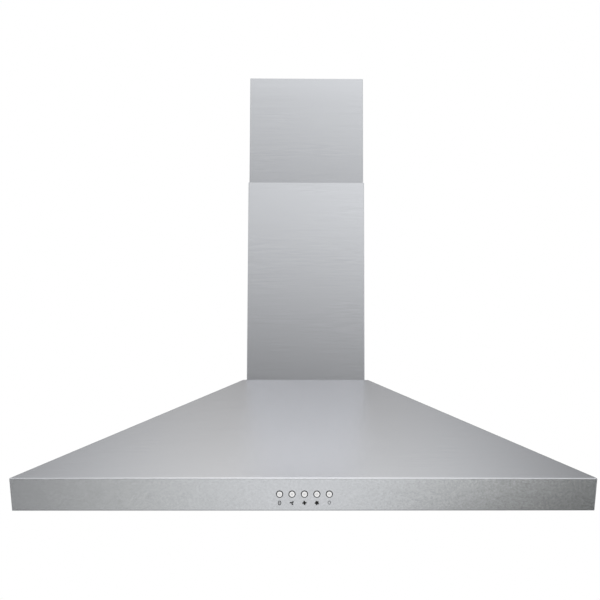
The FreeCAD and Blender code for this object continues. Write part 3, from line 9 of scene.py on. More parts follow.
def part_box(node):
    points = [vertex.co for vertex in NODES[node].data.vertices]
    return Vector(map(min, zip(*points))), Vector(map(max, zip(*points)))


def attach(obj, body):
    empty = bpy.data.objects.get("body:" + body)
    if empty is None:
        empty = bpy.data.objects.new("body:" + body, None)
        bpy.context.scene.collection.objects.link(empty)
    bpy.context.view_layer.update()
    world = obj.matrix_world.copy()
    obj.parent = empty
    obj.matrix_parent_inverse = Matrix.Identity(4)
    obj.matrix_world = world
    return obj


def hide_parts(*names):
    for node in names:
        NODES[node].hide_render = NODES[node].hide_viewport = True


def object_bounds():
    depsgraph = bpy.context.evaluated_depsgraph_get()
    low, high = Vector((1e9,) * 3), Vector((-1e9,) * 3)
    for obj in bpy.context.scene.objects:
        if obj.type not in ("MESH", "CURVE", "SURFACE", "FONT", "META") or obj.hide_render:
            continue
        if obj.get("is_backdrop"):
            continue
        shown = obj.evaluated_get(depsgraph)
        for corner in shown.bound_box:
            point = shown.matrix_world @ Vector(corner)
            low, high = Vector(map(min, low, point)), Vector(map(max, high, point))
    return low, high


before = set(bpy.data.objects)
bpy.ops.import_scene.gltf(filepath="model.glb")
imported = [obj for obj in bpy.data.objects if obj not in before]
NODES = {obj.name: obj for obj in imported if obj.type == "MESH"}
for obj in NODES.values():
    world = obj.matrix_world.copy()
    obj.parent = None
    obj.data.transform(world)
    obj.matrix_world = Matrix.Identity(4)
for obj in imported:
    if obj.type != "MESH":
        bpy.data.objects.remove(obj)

CAD_LOW, CAD_HIGH = (list(corner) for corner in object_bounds())

bl_info = {
    "name": "Wall mount range hood",
    "version": (1, 0, 0),
    "blender": (4, 5, 0),
    "location": "3D View > Sidebar > Range Hood",
    "description": "Dresses the packed range hood in steel, plastic and glass, and sets its studio",
    "category": "Object",
}

MM = 0.001

# Most values of a pattern lie between these two.
MOST = (0.25, 0.75)


def mm(*lengths):
    """Lengths in millimetres as metres."""
    return [length * MM for length in lengths]


# Sizes of the solids that no box of a node gives.
CANOPY_SHEET, CROWN_MARGIN = mm(1, 6)
CHIMNEY_SHEET, CHIMNEY_FLANGE = mm(0.8, 12)
BAND_LEAN, BAND_HEIGHT, BAND_LIP, BAND_FLANGE = mm(4.9, 49, 14, 12)
BUTTON_PITCH, BUTTON_HEIGHT, CAP_FACE_HEIGHT = mm(19, 25, 24.7)
GLAND_SEAT = 222 * MM

# The band leans in by a tenth of its height: its face's ways up and out, and the buttons' places on it.
BAND_UP = Vector((0, -BAND_LEAN, BAND_HEIGHT)).normalized()
BAND_OUT = Vector((0, -BAND_HEIGHT, -BAND_LEAN)).normalized()
BUTTON_FACES = [Vector((sum(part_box("button_%d" % n), Vector()).x / 2, -477.6 * MM, BUTTON_HEIGHT))
                for n in range(1, 6)]

# Vents in both sides of the upper chimney: slots from its front to its rear, one below the other.
VENT_COUNT = 5
VENT_ENDS = mm(-45, -125)
VENT_DROP, VENT_PITCH, VENT_HEIGHT = mm(45, 10, 4)

# The fold carries a painted highlight and the band's foot a thin painted shade line. Each row has two
# heights between which the painted light changes, and the share of the sheet's colour at both.
FOLD_PAINTED_HIGHLIGHT = [(*mm(48, 48.6), 1, 1.38), (*mm(50.2, 51), 1, 1 / 1.38)]
FOOT_PAINTED_SHADE = [(*mm(0.02, 0.15), 1 / 0.5, 1), (*mm(0.2, 1.8), 0.5, 1)]

FLOOR_REACH = 60
CAMERA_PLACE = (0.0106, -2.5065, 0.0507)
CAMERA_TURN = [radians(angle) for angle in (97.685, 0, -1.062)]
CAMERA_SHIFT = -0.06
LAMP_TARGET = Vector((0, -0.2, 0.3))

# The cards shape what the steel shows: the low one the band, the front one the chimney, the high one the
# fold and the upper one the slopes. The side ones give a view from the side the same soft fall from light
# to dark. Each has the axis that it stands across, its place on it, and stops along the other two axes: a
# place in metres, a brightness and, if it has one, a tint.
GREEN, ROSE = (1, 1.01, 0.93), (1, 0.98, 0.96)
SIDE_STOPS = {"Y": [(-3.1, 0.55), (-1.2, 0.85), (0.6, 1), (3.1, 0.8)],
              "Z": [(-1.45, 0.45), (0, 0.5), (0.8, 0.75), (1.8, 0.95), (5, 1)]}
CARDS = (
    ("low_front_card", "Y", -3.2, {
        "X": [(-2.4, 0), (-1.2, 0.22), (-1.05, 0.32), (-0.87, 0.62), (-0.72, 0.76, GREEN),
              (-0.55, 0.87, GREEN), (-0.37, 0.99), (-0.2, 1.28), (0.14, 1.38), (0.33, 1.06),
              (0.51, 0.77, GREEN), (0.69, 0.54, GREEN), (0.83, 0.31, GREEN), (0.97, 0.13, GREEN),
              (1.2, 0, GREEN), (2.4, 0)],
        "Z": [(-1.45, 0.86), (-0.6, 0.95), (-0.08, 1)]}),
    ("front_card", "Y", -3.2, {
        "X": [(-2.4, 0.72), (-0.9, 0.76), (-0.24, 0.92), (0.24, 1.09), (0.9, 1.2), (2.4, 1.1)],
        "Z": [(-0.08, 0.05), (0.2, 0.12), (0.45, 0.25), (0.66, 0.42), (0.98, 0.67), (1.2, 0.84),
              (1.46, 1.03), (1.56, 1.12), (2.4, 1.15)]}),
    ("high_front_card", "Y", -3.2, {
        "X": [(-2.4, 0.95), (-0.8, 0.95), (0, 1.02, ROSE), (0.8, 0.95), (2.4, 0.95)],
        "Z": [(2.4, 1.15), (3.2, 0.55), (4, 0.12), (4.8, 0.3), (5.4, 1.5), (6.2, 1.95, ROSE),
              (14, 1.95, ROSE)]}),
    ("upper_card", "Z", 2.3, {
        "X": [(-2.4, 0.28), (-1.1, 0.44), (-0.88, 0.61), (-0.66, 0.82), (-0.42, 0.97, ROSE),
              (-0.1, 1.02, ROSE), (0.2, 0.97, ROSE), (0.42, 0.9), (0.64, 0.73), (0.86, 0.5), (1.1, 0.28),
              (2.4, 0.2)],
        "Y": [(0.1, 1.4), (0.45, 1.28), (0.87, 0.98), (1.1, 0.75), (1.28, 0.52), (1.8, 0.33),
              (3.2, 0.28)]}),
    ("left_card", "X", -3.4, SIDE_STOPS),
    ("right_card", "X", 3.4, SIDE_STOPS),
)


def linear(code):
    """The linear colour of an sRGB hex value."""
    shares = [int(code[i:i + 2], 16) / 255 for i in (0, 2, 4)]
    return tuple(s / 12.92 if s <= 0.04045 else ((s + 0.055) / 1.055) ** 2.4 for s in shares)


def colour_prop(name, description, code):
    return FloatVectorProperty(
        name=name, description=description, subtype="COLOR", size=3, min=0, max=1, default=linear(code))


def amount_prop(name, description, default, **kind):
    return FloatProperty(name=name, description=description, default=default, **kind)


def length_prop(name, description, millimetres):
    return amount_prop(name, description, millimetres * MM, unit="LENGTH", min=0)


class HoodSizes(bpy.types.PropertyGroup):
    fold_radius: length_prop("Fold radius", "Radius of the bend where slope and band meet", 1.9)
    corner_radius: length_prop("Corner radius", "Radius of the bends at the sheets' corners", 1.5)
    symbol_width: length_prop("Symbol width", "Width of a symbol under a button", 6.6)
    symbol_drop: length_prop("Symbol drop", "How far the symbols stand below the buttons", 13.4)
    ink_thickness: length_prop("Ink thickness", "How far the symbols stand out of the steel", 0.08)
    brush_pitch: length_prop("Brush pitch", "Spacing of the visible brushing lines", 1.7)
    cloud_size: length_prop("Cloud size", "Size of the faint patches on the band", 22)
    spangle_size: length_prop("Spangle size", "Size of the zinc crystals on galvanised sheet", 9)


class HoodColours(bpy.types.PropertyGroup):
    steel: colour_prop("Stainless steel", "Colour of the canopy and chimney sheets", "CED0D4")
    band: colour_prop("Band steel", "Colour of the front band", "CCCED2")
    zinc: colour_prop("Zinc", "Colour of the galvanised sheets", "B9BDC0")
    plastic: colour_prop("Black plastic", "Colour of the moulded black pieces", "1C1D1F")
    grey_plastic: colour_prop("Grey plastic", "Colour of the junction box and the driver", "D2D3D0")
    cap: colour_prop("Button caps", "Colour of the lacquered caps", "F8F8F8")
    chrome: colour_prop("Dark chrome", "Colour of the rings round the caps", "1D1F21")
    ink: colour_prop("Ink", "Colour of the printed symbols", "141415")


class HoodStudio(bpy.types.PropertyGroup):
    focal_length: amount_prop("Focal length", "Focal length of the lens", 78.77, unit="CAMERA", min=1)
    floor_height: amount_prop("Floor height", "Height of the floor", -1.5, unit="LENGTH")
    floor_glow: amount_prop("Floor glow", "Brightness that the floor shows by itself", 0.34, min=0)
    room_light: amount_prop("Room light", "Strength of the even light on dull surfaces", 0.55, min=0)
    key_power: amount_prop("Key lamp", "Power of the lamp at the left", 42, unit="POWER", min=0)
    fill_power: amount_prop("Fill lamp", "Power of the lamp at the right", 22, unit="POWER", min=0)


def feed(tree, node, inputs):
    """Set a node's inputs: to a value, or linked to an output or to another node's first output."""
    for key, value in inputs.items():
        if isinstance(value, bpy.types.Node):
            value = value.outputs[0]
        if isinstance(value, bpy.types.NodeSocket):
            tree.links.new(value, node.inputs[key])
        else:
            node.inputs[key].default_value = value


def add(tree, kind, *inputs, **settings):
    """Add a shader node with its settings and its inputs, by their order or as a dict by their names."""
    node = tree.nodes.new("ShaderNode" + kind)
    for name, value in settings.items():
        setattr(node, name, value)
    for place, value in enumerate(inputs):
        feed(tree, node, value if isinstance(value, dict) else {place: value})
    return node


def bare_tree(owner):
    """The emptied node tree of a new material or world."""
    owner.use_nodes = True
    owner.node_tree.nodes.clear()
    return owner.node_tree


def surface(name, colour, metallic, roughness, **sockets):
    """A material with one shader; a socket's name is written with underscores."""
    material = bpy.data.materials.new(name)
    tree = bare_tree(material)
    values = {"Base Color": (*colour, 1), "Metallic": metallic, "Roughness": roughness}
    values.update({key.replace("_", " "): value for key, value in sockets.items()})
    shader = add(tree, "BsdfPrincipled", values)
    add(tree, "OutputMaterial", shader)
    return material, tree, shader


def axes(tree):
    """The outputs X, Y and Z of the place on a piece, in metres."""
    place = add(tree, "TexCoord").outputs["Object"]
    return add(tree, "SeparateXYZ", place).outputs


def texture(tree, kind, size, **sockets):
    """A pattern whose spots are as large as size says: x, y and z in metres."""
    place = add(tree, "TexCoord").outputs["Object"]
    scaled = add(tree, "VectorMath", place, [1 / length for length in size], operation="MULTIPLY")
    return add(tree, "Tex" + kind, {"Vector": scaled, "Scale": 1, **sockets})


def shade(tree, shader, colour, *factors):
    """Multiply the shader's colour by grey factors that vary over the surface."""
    for factor in factors:
        colour = add(tree, "VectorMath", colour, {"Scale": factor}, operation="SCALE")
    feed(tree, shader, {"Base Color": colour})


def disc_marks_and_painted_shade(tree, depth, cloud_size):
    """Factors for what a loose disc leaves, specks of some 3 mm and wider clouds, and a painted shade
    that darkens the band towards its foot.

    The disc pressed harder towards the right end, and less on the band's sides; the painted shade is also
    stronger towards the right end.
    """
    place = axes(tree)
    normal = add(tree, "SeparateXYZ", add(tree, "NewGeometry").outputs["Normal"]).outputs
    facing = add(tree, "Math", normal["Y"], operation="ABSOLUTE")
    facing = add(tree, "MapRange", facing, 0, 1, 0.3, 1)
    speck = texture(tree, "Noise", mm(3.6, 3.6, 2.8), Detail=1, Roughness=0.6)
    cloud = texture(tree, "Noise", (cloud_size, cloud_size, 0.6 * cloud_size), Detail=3, Roughness=0.6)
    deeper = add(tree, "MapRange", place["X"], 0, 0.36, 0.5 * depth, depth)
    # A painted shade: the band darker towards its foot and lighter towards its top, more so towards its
    # right end.
    painted_foot_shade = add(tree, "MapRange", place["X"], 0.06, 0.3, 0.03, 0.16)
    factors = []
    for pattern, amount in (
            (add(tree, "MapRange", speck, 0.3, 0.7, -1, 1), deeper),
            (add(tree, "MapRange", cloud, 0.3, 0.7, -0.35, 0.35), deeper),
            (add(tree, "MapRange", place["Z"], 0, BAND_HEIGHT, -1, 1), painted_foot_shade)):
        held = add(tree, "Math", amount, facing, operation="MULTIPLY")
        factors.append(add(tree, "Math", pattern, held, 1, operation="MULTIPLY_ADD"))
    return factors


def painted_bend_light(tree, shades, fade):
    """A factor that paints light and shade on the bends, a painted highlight or a painted shade line; it
    fades out between two distances from the middle, if they are given.
    """
    place = axes(tree)
    factor = 1
    for low, high, low_share, high_share in shades:
        step = add(tree, "MapRange", place["Z"], low, high, low_share, high_share)
        factor = add(tree, "Math", factor, step, operation="MULTIPLY")
    if fade:
        aside = add(tree, "Math", place["X"], operation="ABSOLUTE")
        kept = add(tree, "MapRange", aside, *fade, 1, 0)
        extra = add(tree, "Math", factor, 1, operation="SUBTRACT")
        factor = add(tree, "Math", extra, kept, 1, operation="MULTIPLY_ADD")
    return factor


def brushed_sheet(name, colour, roughness, pitch, lean=None, grain=1, marks=None, shades=(), fade=None):
    """Stainless sheet ground with a fine belt, always along the horizontal.

    Lean is how far the sheet hangs out of plumb at its foot and its top, in degrees. Marks are the depth
    and the cloud size of a disc's marks, which come with a painted shade towards the band's foot. Shades
    and fade are those of the painted light on the bends: a painted highlight on the fold and a painted
    shade line at the band's foot.
    """
    material, tree, shader = surface(name, colour, 1, roughness, Anisotropic=0.35)
    # Belt grinding leaves scratches some 0.05 mm apart; they are drawn coarser so that they show at all.
    fine = texture(tree, "Noise", (160 * MM, 160 * MM, pitch), Detail=3, Roughness=0.6)
    # Short streaks of 15 to 35 mm where the belt pressed harder stand in loose groups.
    dash = texture(tree, "Noise", (30 * MM, 30 * MM, 0.8 * pitch), Detail=1)
    group = texture(tree, "Noise", mm(110, 110, 45), Detail=1)
    lines = add(tree, "MapRange", fine, *MOST, 1 - 0.025 * grain, 1 + 0.025 * grain)
    depth = add(tree, "MapRange", group, 0.44, 0.66, 0.004 * grain, 0.037 * grain)
    swing = add(tree, "MapRange", dash, 0.3, 0.7, -1, 1)
    factors = [add(tree, "Math", swing, depth, lines, operation="MULTIPLY_ADD")]
    if marks:
        factors += disc_marks_and_painted_shade(tree, *marks)
    # Painted light on the bends: a highlight along the fold, a shade line at the band's foot.
    if shades:
        factors.append(painted_bend_light(tree, shades, fade))
    shade(tree, shader, colour, *factors)
    normal = add(tree, "NewGeometry").outputs["Normal"]
    # On a level face the grinding runs along X, so the direction never comes out as nothing.
    level = add(tree, "VectorMath", normal, (0, 0, 1), operation="CROSS_PRODUCT")
    tangent = add(tree, "VectorMath", level, (0.002, 0, 0), operation="ADD")
    if lean:
        ends = [radians(angle) for angle in lean]
        tilt = add(tree, "MapRange", axes(tree)["Z"], CAD_LOW[2], CAD_HIGH[2], *ends)
        upward = add(tree, "CombineXYZ", {"Z": tilt})
        leaned = add(tree, "VectorMath", normal, upward, operation="ADD")
        normal = add(tree, "VectorMath", leaned, operation="NORMALIZE")
    uneven = 0.012 * grain
    gloss = add(tree, "MapRange", fine, *MOST, roughness - uneven, roughness + uneven)
    relief = {"Strength": 0.02 * grain, "Distance": 0.3 * MM, "Height": fine, "Normal": normal}
    feed(tree, shader, {"Roughness": gloss, "Tangent": tangent, "Normal": add(tree, "Bump", relief)})
    return material


def galvanised_sheet(colour, spangle):
    """Hot dip galvanised steel: zinc crystals, each a flat patch with its own grey and gloss."""
    material, tree, shader = surface("Hot dip galvanised sheet", colour, 1, 0.42)
    cells = texture(tree, "Voronoi", [spangle] * 3)
    grey = add(tree, "RGBToBW", cells.outputs["Color"])
    shade(tree, shader, colour, add(tree, "MapRange", grey, *MOST, 0.80, 1.12))
    feed(tree, shader, {"Roughness": add(tree, "MapRange", grey, *MOST, 0.34, 0.52)})
    return material


def lacquered_cap(colour):
    """Silver lacquer on plastic: fine metal flake under a clear coat, greyed in the middle by a painted
    reflection.
    """
    material, tree, shader = surface(
        "Silver lacquered ABS", colour, 0.1, 0.34, IOR=1.5, Coat_Weight=0.3, Coat_Roughness=0.1)
    # Flakes are about 0.03 mm; they are drawn at 0.25 mm so that a close view shows them.
    flake = texture(tree, "Voronoi", mm(0.25, 0.25, 0.25))
    grey = add(tree, "RGBToBW", flake.outputs["Color"])
    # The middle cap stands at the origin, so the distance to the nearest one runs to and fro.
    place = axes(tree)
    aside = add(tree, "Math", place["X"], BUTTON_PITCH / 2, operation="PINGPONG")
    above = add(tree, "Math", place["Z"], CAP_FACE_HEIGHT, operation="SUBTRACT")
    offset = add(tree, "CombineXYZ", aside, above)
    radius = add(tree, "VectorMath", offset, operation="LENGTH").outputs["Value"]
    # A painted reflection greys the middle of each cap.
    painted_reflection = add(tree, "MapRange", radius, *mm(1.4, 2.5), 0.76, 1)
    shade(tree, shader, colour, add(tree, "MapRange", grey, *MOST, 0.95, 1.03), painted_reflection)
    return material


def patterned(name, colour, metallic, roughness, size, detail, shades, gloss=None, relief=None, **more):
    """A material with one pattern, whose spots are as large as size says.

    It moves the shade between two factors, the gloss between two roughnesses, and has a relief's strength
    and depth.
    """
    material, tree, shader = surface(name, colour, metallic, roughness, **more)
    pattern = texture(tree, "Noise", size, Detail=detail)
    shade(tree, shader, colour, add(tree, "MapRange", pattern, *MOST, *shades))
    if gloss:
        feed(tree, shader, {"Roughness": add(tree, "MapRange", pattern, *MOST, *gloss)})
    if relief:
        bump = add(tree, "Bump", {"Strength": relief[0], "Distance": relief[1], "Height": pattern})
        feed(tree, shader, {"Normal": bump})
    return material


def moulded_plastic(name, colour, roughness, grain, depth):
    """Injection moulded plastic: the spark eroded grain of its mould, drawn coarser so that it shows."""
    return patterned(
        name, colour, 0, roughness, [grain] * 3, 2, (0.94, 1.06), relief=(0.5, depth), IOR=1.49)


def satin_aluminium(name, colour, roughness, grain):
    """Aluminium, turned or die cast: an even satin grain, drawn coarser so that it shows."""
    return patterned(
        name, colour, 1, roughness, [grain] * 3, 3, (0.92, 1.06), relief=(0.3, 0.1 * grain))


FINISHES = {}


def make_finishes(scene):
    """Make each material once, from the colours and sizes that the scene holds."""
    colours, sizes = scene.hood_colours, scene.hood_sizes
    steel, pitch = colours.steel, sizes.brush_pitch
    FINISHES.update({
        # The slopes carry a painted highlight along the fold.
        "slopes": brushed_sheet(
            "Belt brushed stainless slopes", steel, 0.26, pitch, grain=0.5, shades=FOLD_PAINTED_HIGHLIGHT,
            fade=mm(50, 420)),
        # The band carries a painted shade line at its foot and a painted shade towards its foot.
        "band": brushed_sheet(
            "Disc ground stainless band", colours.band, 0.27, pitch, grain=0.12,
            marks=(0.10, sizes.cloud_size), shades=FOOT_PAINTED_SHADE),
        "lower": brushed_sheet("Belt brushed stainless lower cover", steel, 0.26, pitch, (1.1, 2.84)),
        "upper": brushed_sheet("Belt brushed stainless upper cover", steel, 0.26, pitch, (-2.2, -1.9)),
        "underside": brushed_sheet("Belt brushed stainless underside", steel, 0.30, pitch),
        "zinc": galvanised_sheet(colours.zinc, sizes.spangle_size),
        # Bright rolled sheet pressed into channels: smooth, with faint die marks along the channels.
        "filter": patterned(
            "Bright pressed stainless", linear("CBCCCD"), 1, 0.24, mm(3, 120, 3), 3, (0.94, 1.05),
            gloss=(0.20, 0.30)),
        # Zinc plated and clear passivated: bright with a slight cloud.
        "screw": patterned(
            "Zinc plated screw steel", linear("CFCFC8"), 1, 0.30, mm(2, 2, 2), 3, (0.86, 1.08)),
        # Grinding leaves fine rings round a shaft, here 0.4 mm apart so that they show.
        "shaft": patterned(
            "Ground steel", linear("B4B5B7"), 1, 0.20, mm(0.4, 50, 50), 2, (0.92, 1.05)),
        "duct": moulded_plastic("Black moulded polypropylene", colours.plastic, 0.45, *mm(0.9, 0.08)),
        "wheel": moulded_plastic("Black glass filled polyamide", linear("151617"), 0.5, *mm(0.8, 0.1)),
        "switch": moulded_plastic("Black moulded ABS", linear("101112"), 0.42, *mm(0.7, 0.06)),
        "box": moulded_plastic("Light grey moulded ABS", colours.grey_plastic, 0.5, *mm(0.9, 0.08)),
        # Enamel is glossy, with the faint ripple of a dipped coat.
        "motor": patterned(
            "Black stoved enamel", linear("202124"), 0, 0.28, mm(4, 4, 4), 1, (0.9, 1.1),
            relief=(0.25, 0.3 * MM), IOR=1.5, Coat_Weight=0.4, Coat_Roughness=0.12),
        "cap": lacquered_cap(colours.cap),
        # Nickel plating on a turned ring: dark and glossy. Its hair-fine marks are drawn wider to show.
        "chrome": patterned(
            "Black nickel plate", colours.chrome, 1, 0.16, mm(0.6, 0.6, 0.6), 2, (0.9, 1.08),
            gloss=(0.12, 0.22)),
        "trim": satin_aluminium("Turned satin aluminium", linear("D6D7D8"), 0.25, 0.6 * MM),
        "sink": satin_aluminium("Die cast aluminium", linear("9C9EA0"), 0.45, 1.2 * MM),
        # The milky cover over the light diodes lets light through and has a soft gloss.
        "lens": patterned(
            "Opal polycarbonate", linear("F6F4EE"), 0, 0.35, mm(1.2, 1.2, 1.2), 2, (0.97, 1),
            relief=(0.2, 0.1 * MM), IOR=1.585, Transmission_Weight=0.12, Subsurface_Weight=0.1),
        # Screen print is matt, and thinner here and there where the mesh lets less ink through.
        "ink": patterned(
            "Screen printed ink", colours.ink, 0, 0.6, mm(0.4, 0.4, 0.4), 2, (0.85, 1.15), IOR=1.5),
    })


def finish_nodes(key, *names):
    """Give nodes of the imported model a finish."""
    for name in names:
        mesh = NODES[name].data
        mesh.materials.clear()
        mesh.materials.append(FINISHES[key])


def placed(name, data):
    """A new object in the scene."""
    item = bpy.data.objects.new(name, data)
    bpy.context.scene.collection.objects.link(item)
    return item


def new_piece(name, form, key, replaced=(), sharp=35, body="hood"):
    """Turn a mesh under construction into a finished piece that moves with a body."""
    bmesh.ops.recalc_face_normals(form, faces=form.faces)
    for face in form.faces:
        face.smooth = True
    mesh = bpy.data.meshes.new(name)
    form.to_mesh(mesh)
    form.free()
    mesh.set_sharp_from_angle(angle=radians(sharp))
    mesh.materials.append(FINISHES[key])
    item = placed(name, mesh)
    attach(item, body)
    if replaced:
        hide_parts(*replaced)
    return item


def thicken(item, thickness, side):
    """Give a surface its sheet thickness, inwards or outwards."""
    wall = item.modifiers.new("Sheet thickness", "SOLIDIFY")
    wall.thickness = thickness
    wall.offset = side


def circle(radius, along, steps):
    """Points round the Z axis, or the one on it."""
    angles = [2 * pi * i / steps for i in range(steps if radius else 1)]
    return [Vector((radius * cos(angle), radius * sin(angle), along)) for angle in angles]


def loft(form, rows, origin, axis, ring=False):
    """Span faces between rows of points round an axis; a ring also joins the last row to the first."""
    turn = Vector((0, 0, 1)).rotation_difference(Vector(axis)).to_matrix()
    rows = [[form.verts.new(Vector(origin) + turn @ point) for point in row] for row in rows]
    steps = max(len(row) for row in rows)
    for low, high in zip(rows, rows[1:] + (rows[:1] if ring else [])):
        for i in range(steps):
            j = (i + 1) % steps
            corners = [low[i % len(low)], low[j % len(low)], high[j % len(high)], high[i % len(high)]]
            corners = list(dict.fromkeys(corners))
            if len(corners) > 2:
                form.faces.new(corners)
    return rows


def turned(form, profile, origin, axis, steps=48, ring=False):
    """Turn a profile round an axis; its points are radius and distance along the axis, in millimetres."""
    loft(form, [circle(radius * MM, along * MM, steps) for radius, along in profile], origin, axis, ring)


def block(form, low, high):
    """A block between two corners."""
    low, high = Vector(low), Vector(high)
    place = Matrix.Translation((low + high) / 2) @ Matrix.Diagonal((*(high - low), 1))
    bmesh.ops.create_cube(form, size=1, matrix=place)


def rounded_path(points, radius, steps=4):
    """An open line of points whose square corners become arcs."""
    points = [Vector(point) for point in points]
    path = points[:1]
    for before, corner, after in zip(points, points[1:], points[2:]):
        come, go = (corner - before).normalized(), (after - corner).normalized()
        if come.dot(go) > 0.99:
            path.append(corner)
            continue
        centre = corner - come * radius + go * radius
        for i in range(steps + 1):
            angle = pi / 2 * i / steps
            path.append(centre - go * (radius * cos(angle)) + come * (radius * sin(angle)))
    return path + points[-1:]


def mirrored_path(left, radius):
    """A form in plan, from its left side over the front to its right side, which mirrors the left."""
    return rounded_path(left + [(-x, y) for x, y in reversed(left)], radius)


def folded_sheet(name, levels, key, replaced, thickness, vents=(), body="hood"):
    """A sheet bent round a box form: each level is its path in plan and its height.

    A vent is a box of y and z limits that is left open in the sheet's sides.
    """
    form = bmesh.new()
    rows = [[form.verts.new((point.x, point.y, z)) for point in path] for path, z in levels]
    for low, high in zip(rows, rows[1:]):
        for i in range(len(low) - 1):
            corners = [low[i], low[i + 1], high[i + 1], high[i]]
            middle = sum((vert.co for vert in corners), Vector()) / 4
            on_side = abs(corners[0].co.x - corners[1].co.x) < 1e-6
            if on_side and any(y0 < middle.y < y1 and z0 < middle.z < z1 for y0, y1, z0, z1 in vents):
                continue
            form.faces.new(corners)
    item = new_piece(name, form, key, [replaced], 50, body)
    inside = Vector((0, -0.1))
    faces = item.data.polygons
    if sum((face.center.xy - inside).dot(face.normal.xy) * face.area for face in faces) < 0:
        item.data.flip_normals()
    thicken(item, thickness, -1)
    item.modifiers.new("Flat faces stay flat", "WEIGHTED_NORMAL").keep_sharp = True


def drawn_in(z, foot, crown, run, bend):
    """How far a slope has drawn in at a height: round its lower bend, up it and over its upper bend."""
    slope = atan2(crown - foot, run)
    middle = foot - bend * (1 - sin(slope)) / cos(slope)
    if z < middle + bend * cos(slope):
        return bend - sqrt(max(bend ** 2 - (z - middle) ** 2, 0))
    if z > crown - bend * (1 - cos(slope)):
        return run + bend * tan(slope / 2) - sqrt(max(bend ** 2 - (z - crown + bend) ** 2, 0))
    return (z - foot) / tan(slope)


def crown_plate(edge_x, edge_y, crown):
    """The flat crown, out to the slopes and the back panel, with the hole for the duct."""
    low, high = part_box("outlet_collar")
    middle = (low.y + high.y) / 2
    hole = (high.x - low.x) / 2 - CANOPY_SHEET
    steps, rows = 64, ([], [])
    for i in range(steps):
        angle = 2 * pi * (i + 0.5) / steps
        x, y = cos(angle), sin(angle)
        reach = min(edge_x / abs(x), (-CANOPY_SHEET - middle if y > 0 else edge_y + middle) / abs(y))
        for row, distance in zip(rows, (hole, reach)):
            row.append(Vector((distance * x, distance * y, 0)))
    form = bmesh.new()
    loft(form, rows, (0, middle, crown), (0, 0, 1))
    plate = new_piece("crown_plate", form, "slopes")
    thicken(plate, CANOPY_SHEET, -1 if plate.data.polygons[0].normal.z > 0 else 1)


def band_levels(seam, corner):
    """The band from its lip below, round its foot and up its leaning face, to the flange at the seam."""
    low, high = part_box("front_band")
    foot_bend, top_bend, inner_corner, seam_gap, clearance = mm(0.8, 0.25, 0.4, 0.03, 0.02)
    foot_turns, top_turns = 6, 4
    tilt = atan2(BAND_LEAN, high.z)
    top = seam - seam_gap

    def level(inset, z, radius=corner):
        left = [(inset - high.x, -CANOPY_SHEET), (inset - high.x, low.y + inset)]
        return mirrored_path(left, radius), z

    levels = [level(BAND_LEAN + BAND_LIP, 0, inner_corner)]
    for i in range(foot_turns + 1):
        angle = -pi / 2 + (pi / 2 - tilt) * i / foot_turns
        inset = BAND_LEAN + foot_bend * (1 - cos(angle)) + clearance
        levels.append(level(inset, foot_bend * (1 + sin(angle))))
    for i in range(top_turns + 1):
        angle = -tilt + (pi / 2 + tilt) * i / top_turns
        inset = (high.z - top) * BAND_LEAN / high.z + top_bend * (1 - cos(angle))
        levels.append(level(inset, top - top_bend * (1 - sin(angle))))
    levels.append(level(BAND_FLANGE, top, inner_corner))
    return levels


class HOOD_OT_canopy(bpy.types.Operator):
    """The sloping canopy, the leaning band, the back and the underside"""
    bl_idname = "hood.canopy"
    bl_label = "Canopy"

    def execute(self, context):
        sizes = context.scene.hood_sizes
        bend, corner = sizes.fold_radius, sizes.corner_radius
        low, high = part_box("canopy_skin")
        chimney_low, chimney_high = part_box("lower_chimney")
        fold, crown = low.z, high.z
        side_run = high.x - chimney_high.x - CROWN_MARGIN
        front_run = chimney_low.y - CROWN_MARGIN - low.y

        def edges(z):
            return (high.x - drawn_in(z, fold, crown, side_run, bend),
                    -low.y - drawn_in(z, fold, crown, front_run, bend))

        # The sheet starts at the seam with the band, partly round its lower bend. Rows of points stand
        # close together round both bends and far apart on the slope between them.
        seam = fold - 0.58 * bend
        heights = [seam + bend * sin(radians(7.5 * i)) for i in range(9)]
        heights += [fold + 2.4 * bend] + [fold + rise for rise in mm(40, 90, 135)]
        heights += [crown - 0.03 * bend * i for i in range(8, -1, -1)]
        levels = []
        for z in heights:
            half, front = edges(z)
            levels.append((mirrored_path([(-half, -CANOPY_SHEET), (-half, -front)], corner), z))
        folded_sheet("canopy_sheet", levels, "slopes", "canopy_skin", CANOPY_SHEET)
        crown_plate(*edges(crown), crown)
        levels = band_levels(seam, corner)
        folded_sheet("band_sheet", levels, "band", "front_band", CANOPY_SHEET)
        finish_nodes("zinc", "back_panel")
        finish_nodes("underside", "underside_panel")
        return {"FINISHED"}


class HOOD_OT_chimney(bpy.types.Operator):
    """The two chimney covers with their brackets"""
    bl_idname = "hood.chimney"
    bl_label = "Chimney"

    def execute(self, context):
        corner = context.scene.hood_sizes.corner_radius
        for key, body in (("lower", "hood"), ("upper", "chimney_slide")):
            node = key + "_chimney"
            low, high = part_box(node)
            heights, vents, stops = [low.z, high.z], [], []
            if key == "upper":
                stops = VENT_ENDS
                for i in range(VENT_COUNT):
                    z = high.z - VENT_DROP - i * VENT_PITCH
                    heights += [z, z + VENT_HEIGHT]
                    vents.append((stops[1], stops[0], z, z + VENT_HEIGHT))
            left = [(CHIMNEY_FLANGE - high.x, high.y), (-high.x, high.y)]
            left += [(-high.x, y) for y in (*stops, low.y)]
            path = mirrored_path(left, corner)
            levels = [(path, z) for z in sorted(heights)]
            folded_sheet(
                node + "_sheet", levels, key, node, CHIMNEY_SHEET, vents, body)
        finish_nodes("zinc", "chimney_bracket_left", "chimney_bracket_right", "upper_wall_bracket")
        return {"FINISHED"}


